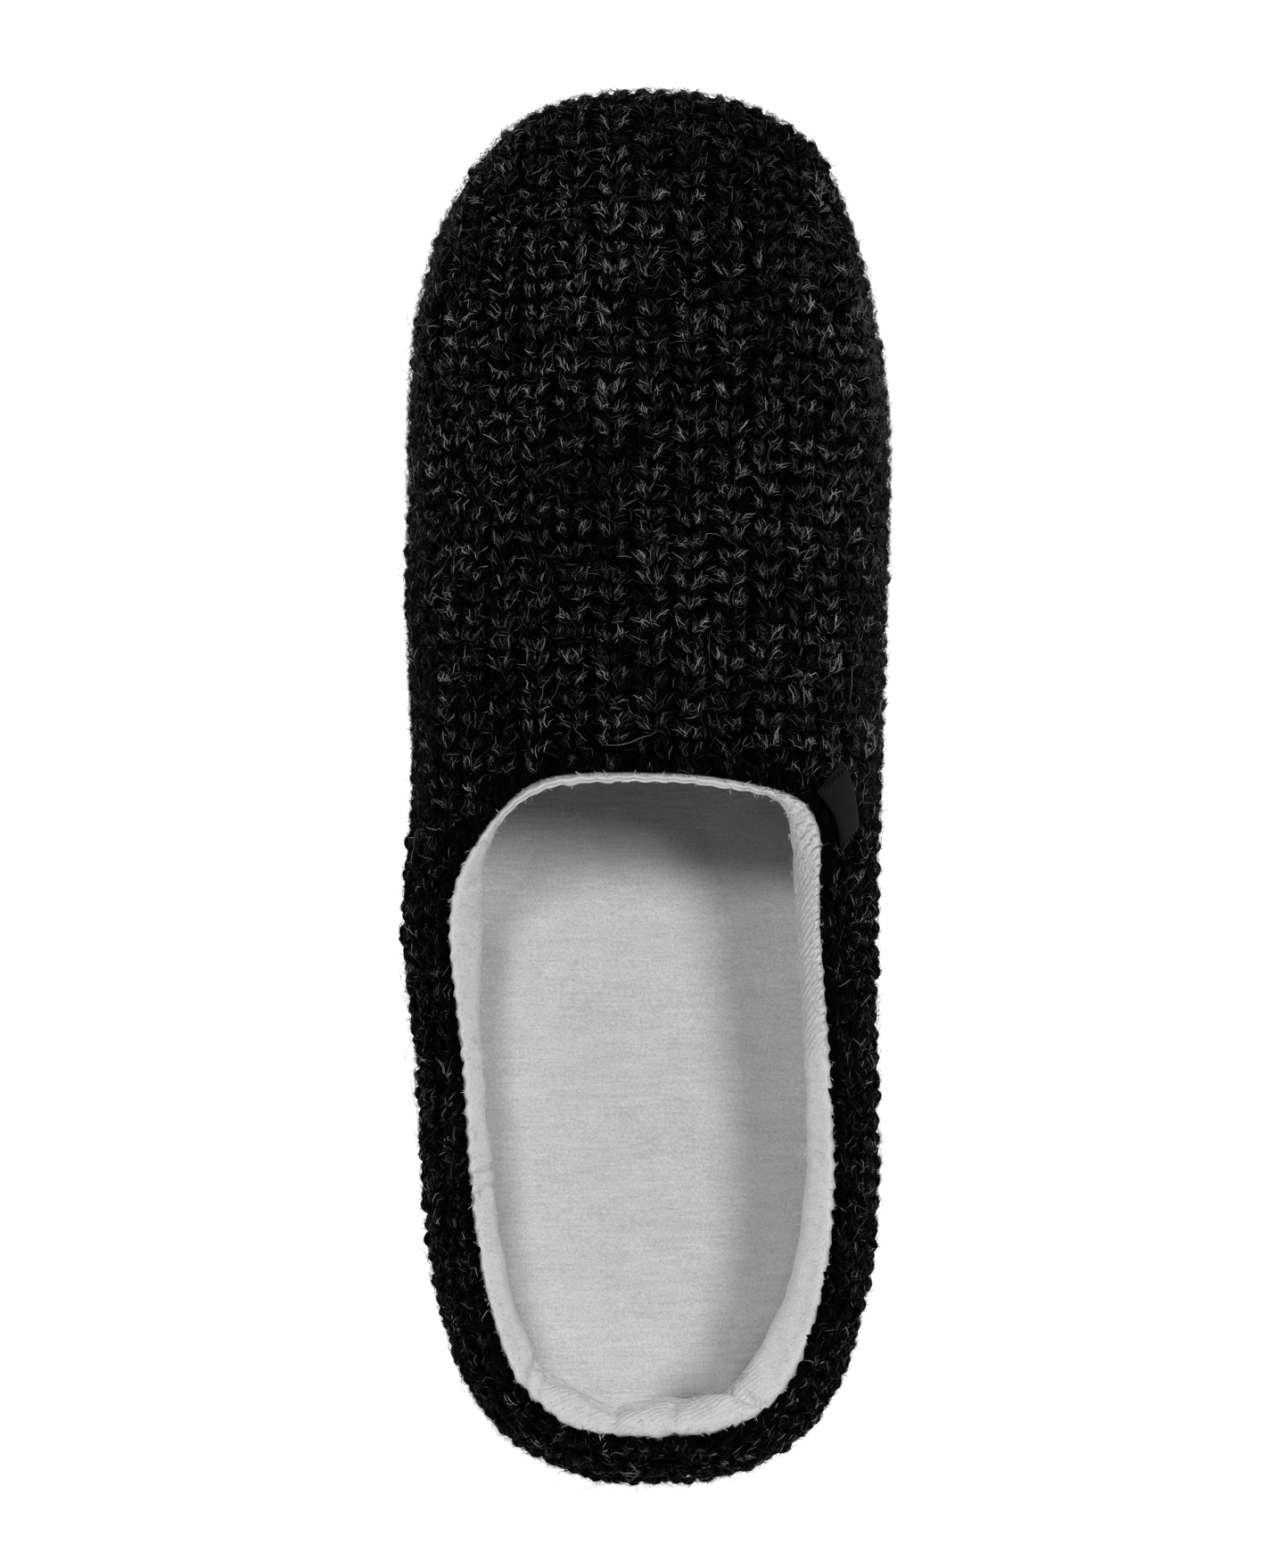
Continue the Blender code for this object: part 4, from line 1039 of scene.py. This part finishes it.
# its threads are 0.35 mm apart, drawn at 0.5 mm so that they show
warp = addNode(tapeTree, "ShaderNodeTexWave", {"Vector": spot, "Scale": 630.0, "Distortion": 0.3}, bands_direction="Y").outputs["Fac"]
weft = addNode(tapeTree, "ShaderNodeTexWave", {"Vector": spot, "Scale": 630.0, "Distortion": 0.3}, bands_direction="Z").outputs["Fac"]
weave = addNode(tapeTree, "ShaderNodeMath", {0: warp, 1: weft}, operation="MULTIPLY").outputs["Value"]
lint = addNode(tapeTree, "ShaderNodeTexNoise", {"Vector": spot, "Scale": 900.0, "Detail": 3.0}).outputs["Fac"]
cloth = addNode(tapeTree, "ShaderNodeMath", {0: lint, 1: 0.8, 2: weave}, operation="MULTIPLY_ADD").outputs["Value"]
tapeTree.links.new(ramp(tapeTree, cloth, [(0.2, colour("#030303")), (1.0, colour("#181818"))]), tapeShader.inputs["Base Color"])
tapeTree.links.new(
    addNode(tapeTree, "ShaderNodeBump", {"Height": weave, "Strength": 0.6, "Distance": 0.0002}).outputs["Normal"],
    tapeShader.inputs["Normal"],
)
tagMesh = smoothCopy("side_tag", 2)
tagMesh.shade_smooth()
addPiece("woven_tag", tagMesh, tape, ["side_tag"])
tagTree = treeOf(tagMesh)
# eight stitches sew each end down; axes run along, across and out of the tape
tagPoints = pointsOf(tagMesh)
tagMiddle = tagPoints.mean(0)
axes = np.linalg.svd(tagPoints - tagMiddle, full_matrices=False)[2]
axes[2] *= np.sign(axes[2, 0])
tagSpans = np.ptp((tagPoints - tagMiddle) @ axes.T, axis=0)
threads = []
for share in (-0.4, 0.4):
    for across in np.linspace(-0.38, 0.38, 8):
        spot = tagMiddle + axes[0] * tagSpans[0] * share + axes[1] * tagSpans[1] * across + axes[2] * 20 * mm
        place, n, _, _ = tagTree.ray_cast(Vector(spot), Vector(-axes[2]))
        if place is not None:
            threads.append((np.array(place), np.array(n)))
print("tag's stitches:", len(threads))
if threads:
    normals = np.repeat(np.array([n for _, n in threads])[:, None], 4, 1)
    lines = np.array([[place + axes[0] * t * mm + n * 0.02 * mm for t in (-0.5, -0.2, 0.2, 0.5)] for place, n in threads])
    addPiece("tag_thread", sweptBeads("tag_thread", lines, normals, np.full(len(lines), 0.16 * mm), beadShape(6, 5), np.full(len(lines), 0.1)), yarn)

# outsole: moulded thermoplastic rubber, black, satin, with a fine spark-eroded grain and paler scuffs
rubber, rubberTree, rubberShader = newMaterial("mouldedRubber", Specular_IOR_Level=0.4)
spot = addNode(rubberTree, "ShaderNodeTexCoord").outputs["Object"]
grain = addNode(rubberTree, "ShaderNodeTexNoise", {"Vector": spot, "Scale": 1600.0, "Detail": 3.0}).outputs["Fac"]
scuff = addNode(rubberTree, "ShaderNodeTexNoise", {"Vector": spot, "Scale": 70.0, "Detail": 6.0, "Roughness": 0.7}).outputs["Fac"]
rubberTree.links.new(ramp(rubberTree, scuff, [(0.35, colour("#121212")), (0.6, colour("#1A1A1A")), (0.75, colour("#2A2A2A"))]), rubberShader.inputs["Base Color"])
rubberTree.links.new(ramp(rubberTree, scuff, [(0.3, (0.5, 0.5, 0.5, 1)), (0.75, (0.72, 0.72, 0.72, 1))]), rubberShader.inputs["Roughness"])
line = addNode(rubberTree, "ShaderNodeTexWave", {"Vector": spot, "Scale": 190.0, "Distortion": 0.0}, bands_direction="Z").outputs["Fac"]
mould = addNode(rubberTree, "ShaderNodeMath", {0: grain, 1: 0.5, 2: line}, operation="MULTIPLY_ADD").outputs["Value"]
rubberTree.links.new(
    addNode(rubberTree, "ShaderNodeBump", {"Height": mould, "Strength": 0.5, "Distance": 0.0003}).outputs["Normal"],
    rubberShader.inputs["Normal"],
)
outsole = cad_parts["outsole"]
outsole.data.materials.clear()
outsole.data.materials.append(rubber)


# floor and light

floorMesh = bpy.data.meshes.new("floor")
form = bmesh.new()
bmesh.ops.create_grid(form, x_segments=1, y_segments=1, size=4)
form.to_mesh(floorMesh)
form.free()
floor = bpy.data.objects.new("floor", floorMesh)
bpy.context.scene.collection.objects.link(floor)
paper, paperTree, paperShader = newMaterial("whitePaper", Roughness=0.9)
spot = addNode(paperTree, "ShaderNodeTexCoord").outputs["Object"]
tooth = addNode(paperTree, "ShaderNodeTexNoise", {"Vector": spot, "Scale": 300.0, "Detail": 3.0}).outputs["Fac"]
paperTree.links.new(ramp(paperTree, tooth, [(0.3, colour("#F2F2F2")), (0.7, colour("#F8F8F8"))]), paperShader.inputs["Base Color"])
paperShader.inputs["Emission Color"].default_value = (1, 1, 1, 1)
paperShader.inputs["Emission Strength"].default_value = 0.9
floorMesh.materials.append(paper)

# the key stands on the big toe's side, the fill beyond the toe and a little to the other side:
# both throw the vamp's shadow on the footbed,
# and the side lamp, low on the other side, reaches the collar's far wall
studio = {
    "keyFrom": (0.86, 0.38, 1.8), "keySize": 0.5, "keyWatts": 18.5,
    "fillFrom": (-0.30, 0.64, 1.9), "fillSize": 0.36, "fillWatts": 14,
    "sideFrom": (-1.55, -0.75, 0.62), "sideSize": 0.5, "sideWatts": 8, "surround": 0.02,
}
for name in ("key", "fill", "side"):
    lamp = bpy.data.lights.new(name, "AREA")
    lamp.shape = "DISK"
    lamp.size = studio[name + "Size"]
    lamp.energy = studio[name + "Watts"]
    lampObject = bpy.data.objects.new(name, lamp)
    lampObject.location = studio[name + "From"]
    lampObject.rotation_euler = (-Vector(studio[name + "From"])).to_track_quat("-Z", "Y").to_euler()
    bpy.context.scene.collection.objects.link(lampObject)
world = bpy.data.worlds.new("surround")
world.use_nodes = True
world.node_tree.nodes["Background"].inputs["Color"].default_value = (1, 1, 1, 1)
world.node_tree.nodes["Background"].inputs["Strength"].default_value = studio["surround"]
bpy.context.scene.world = world
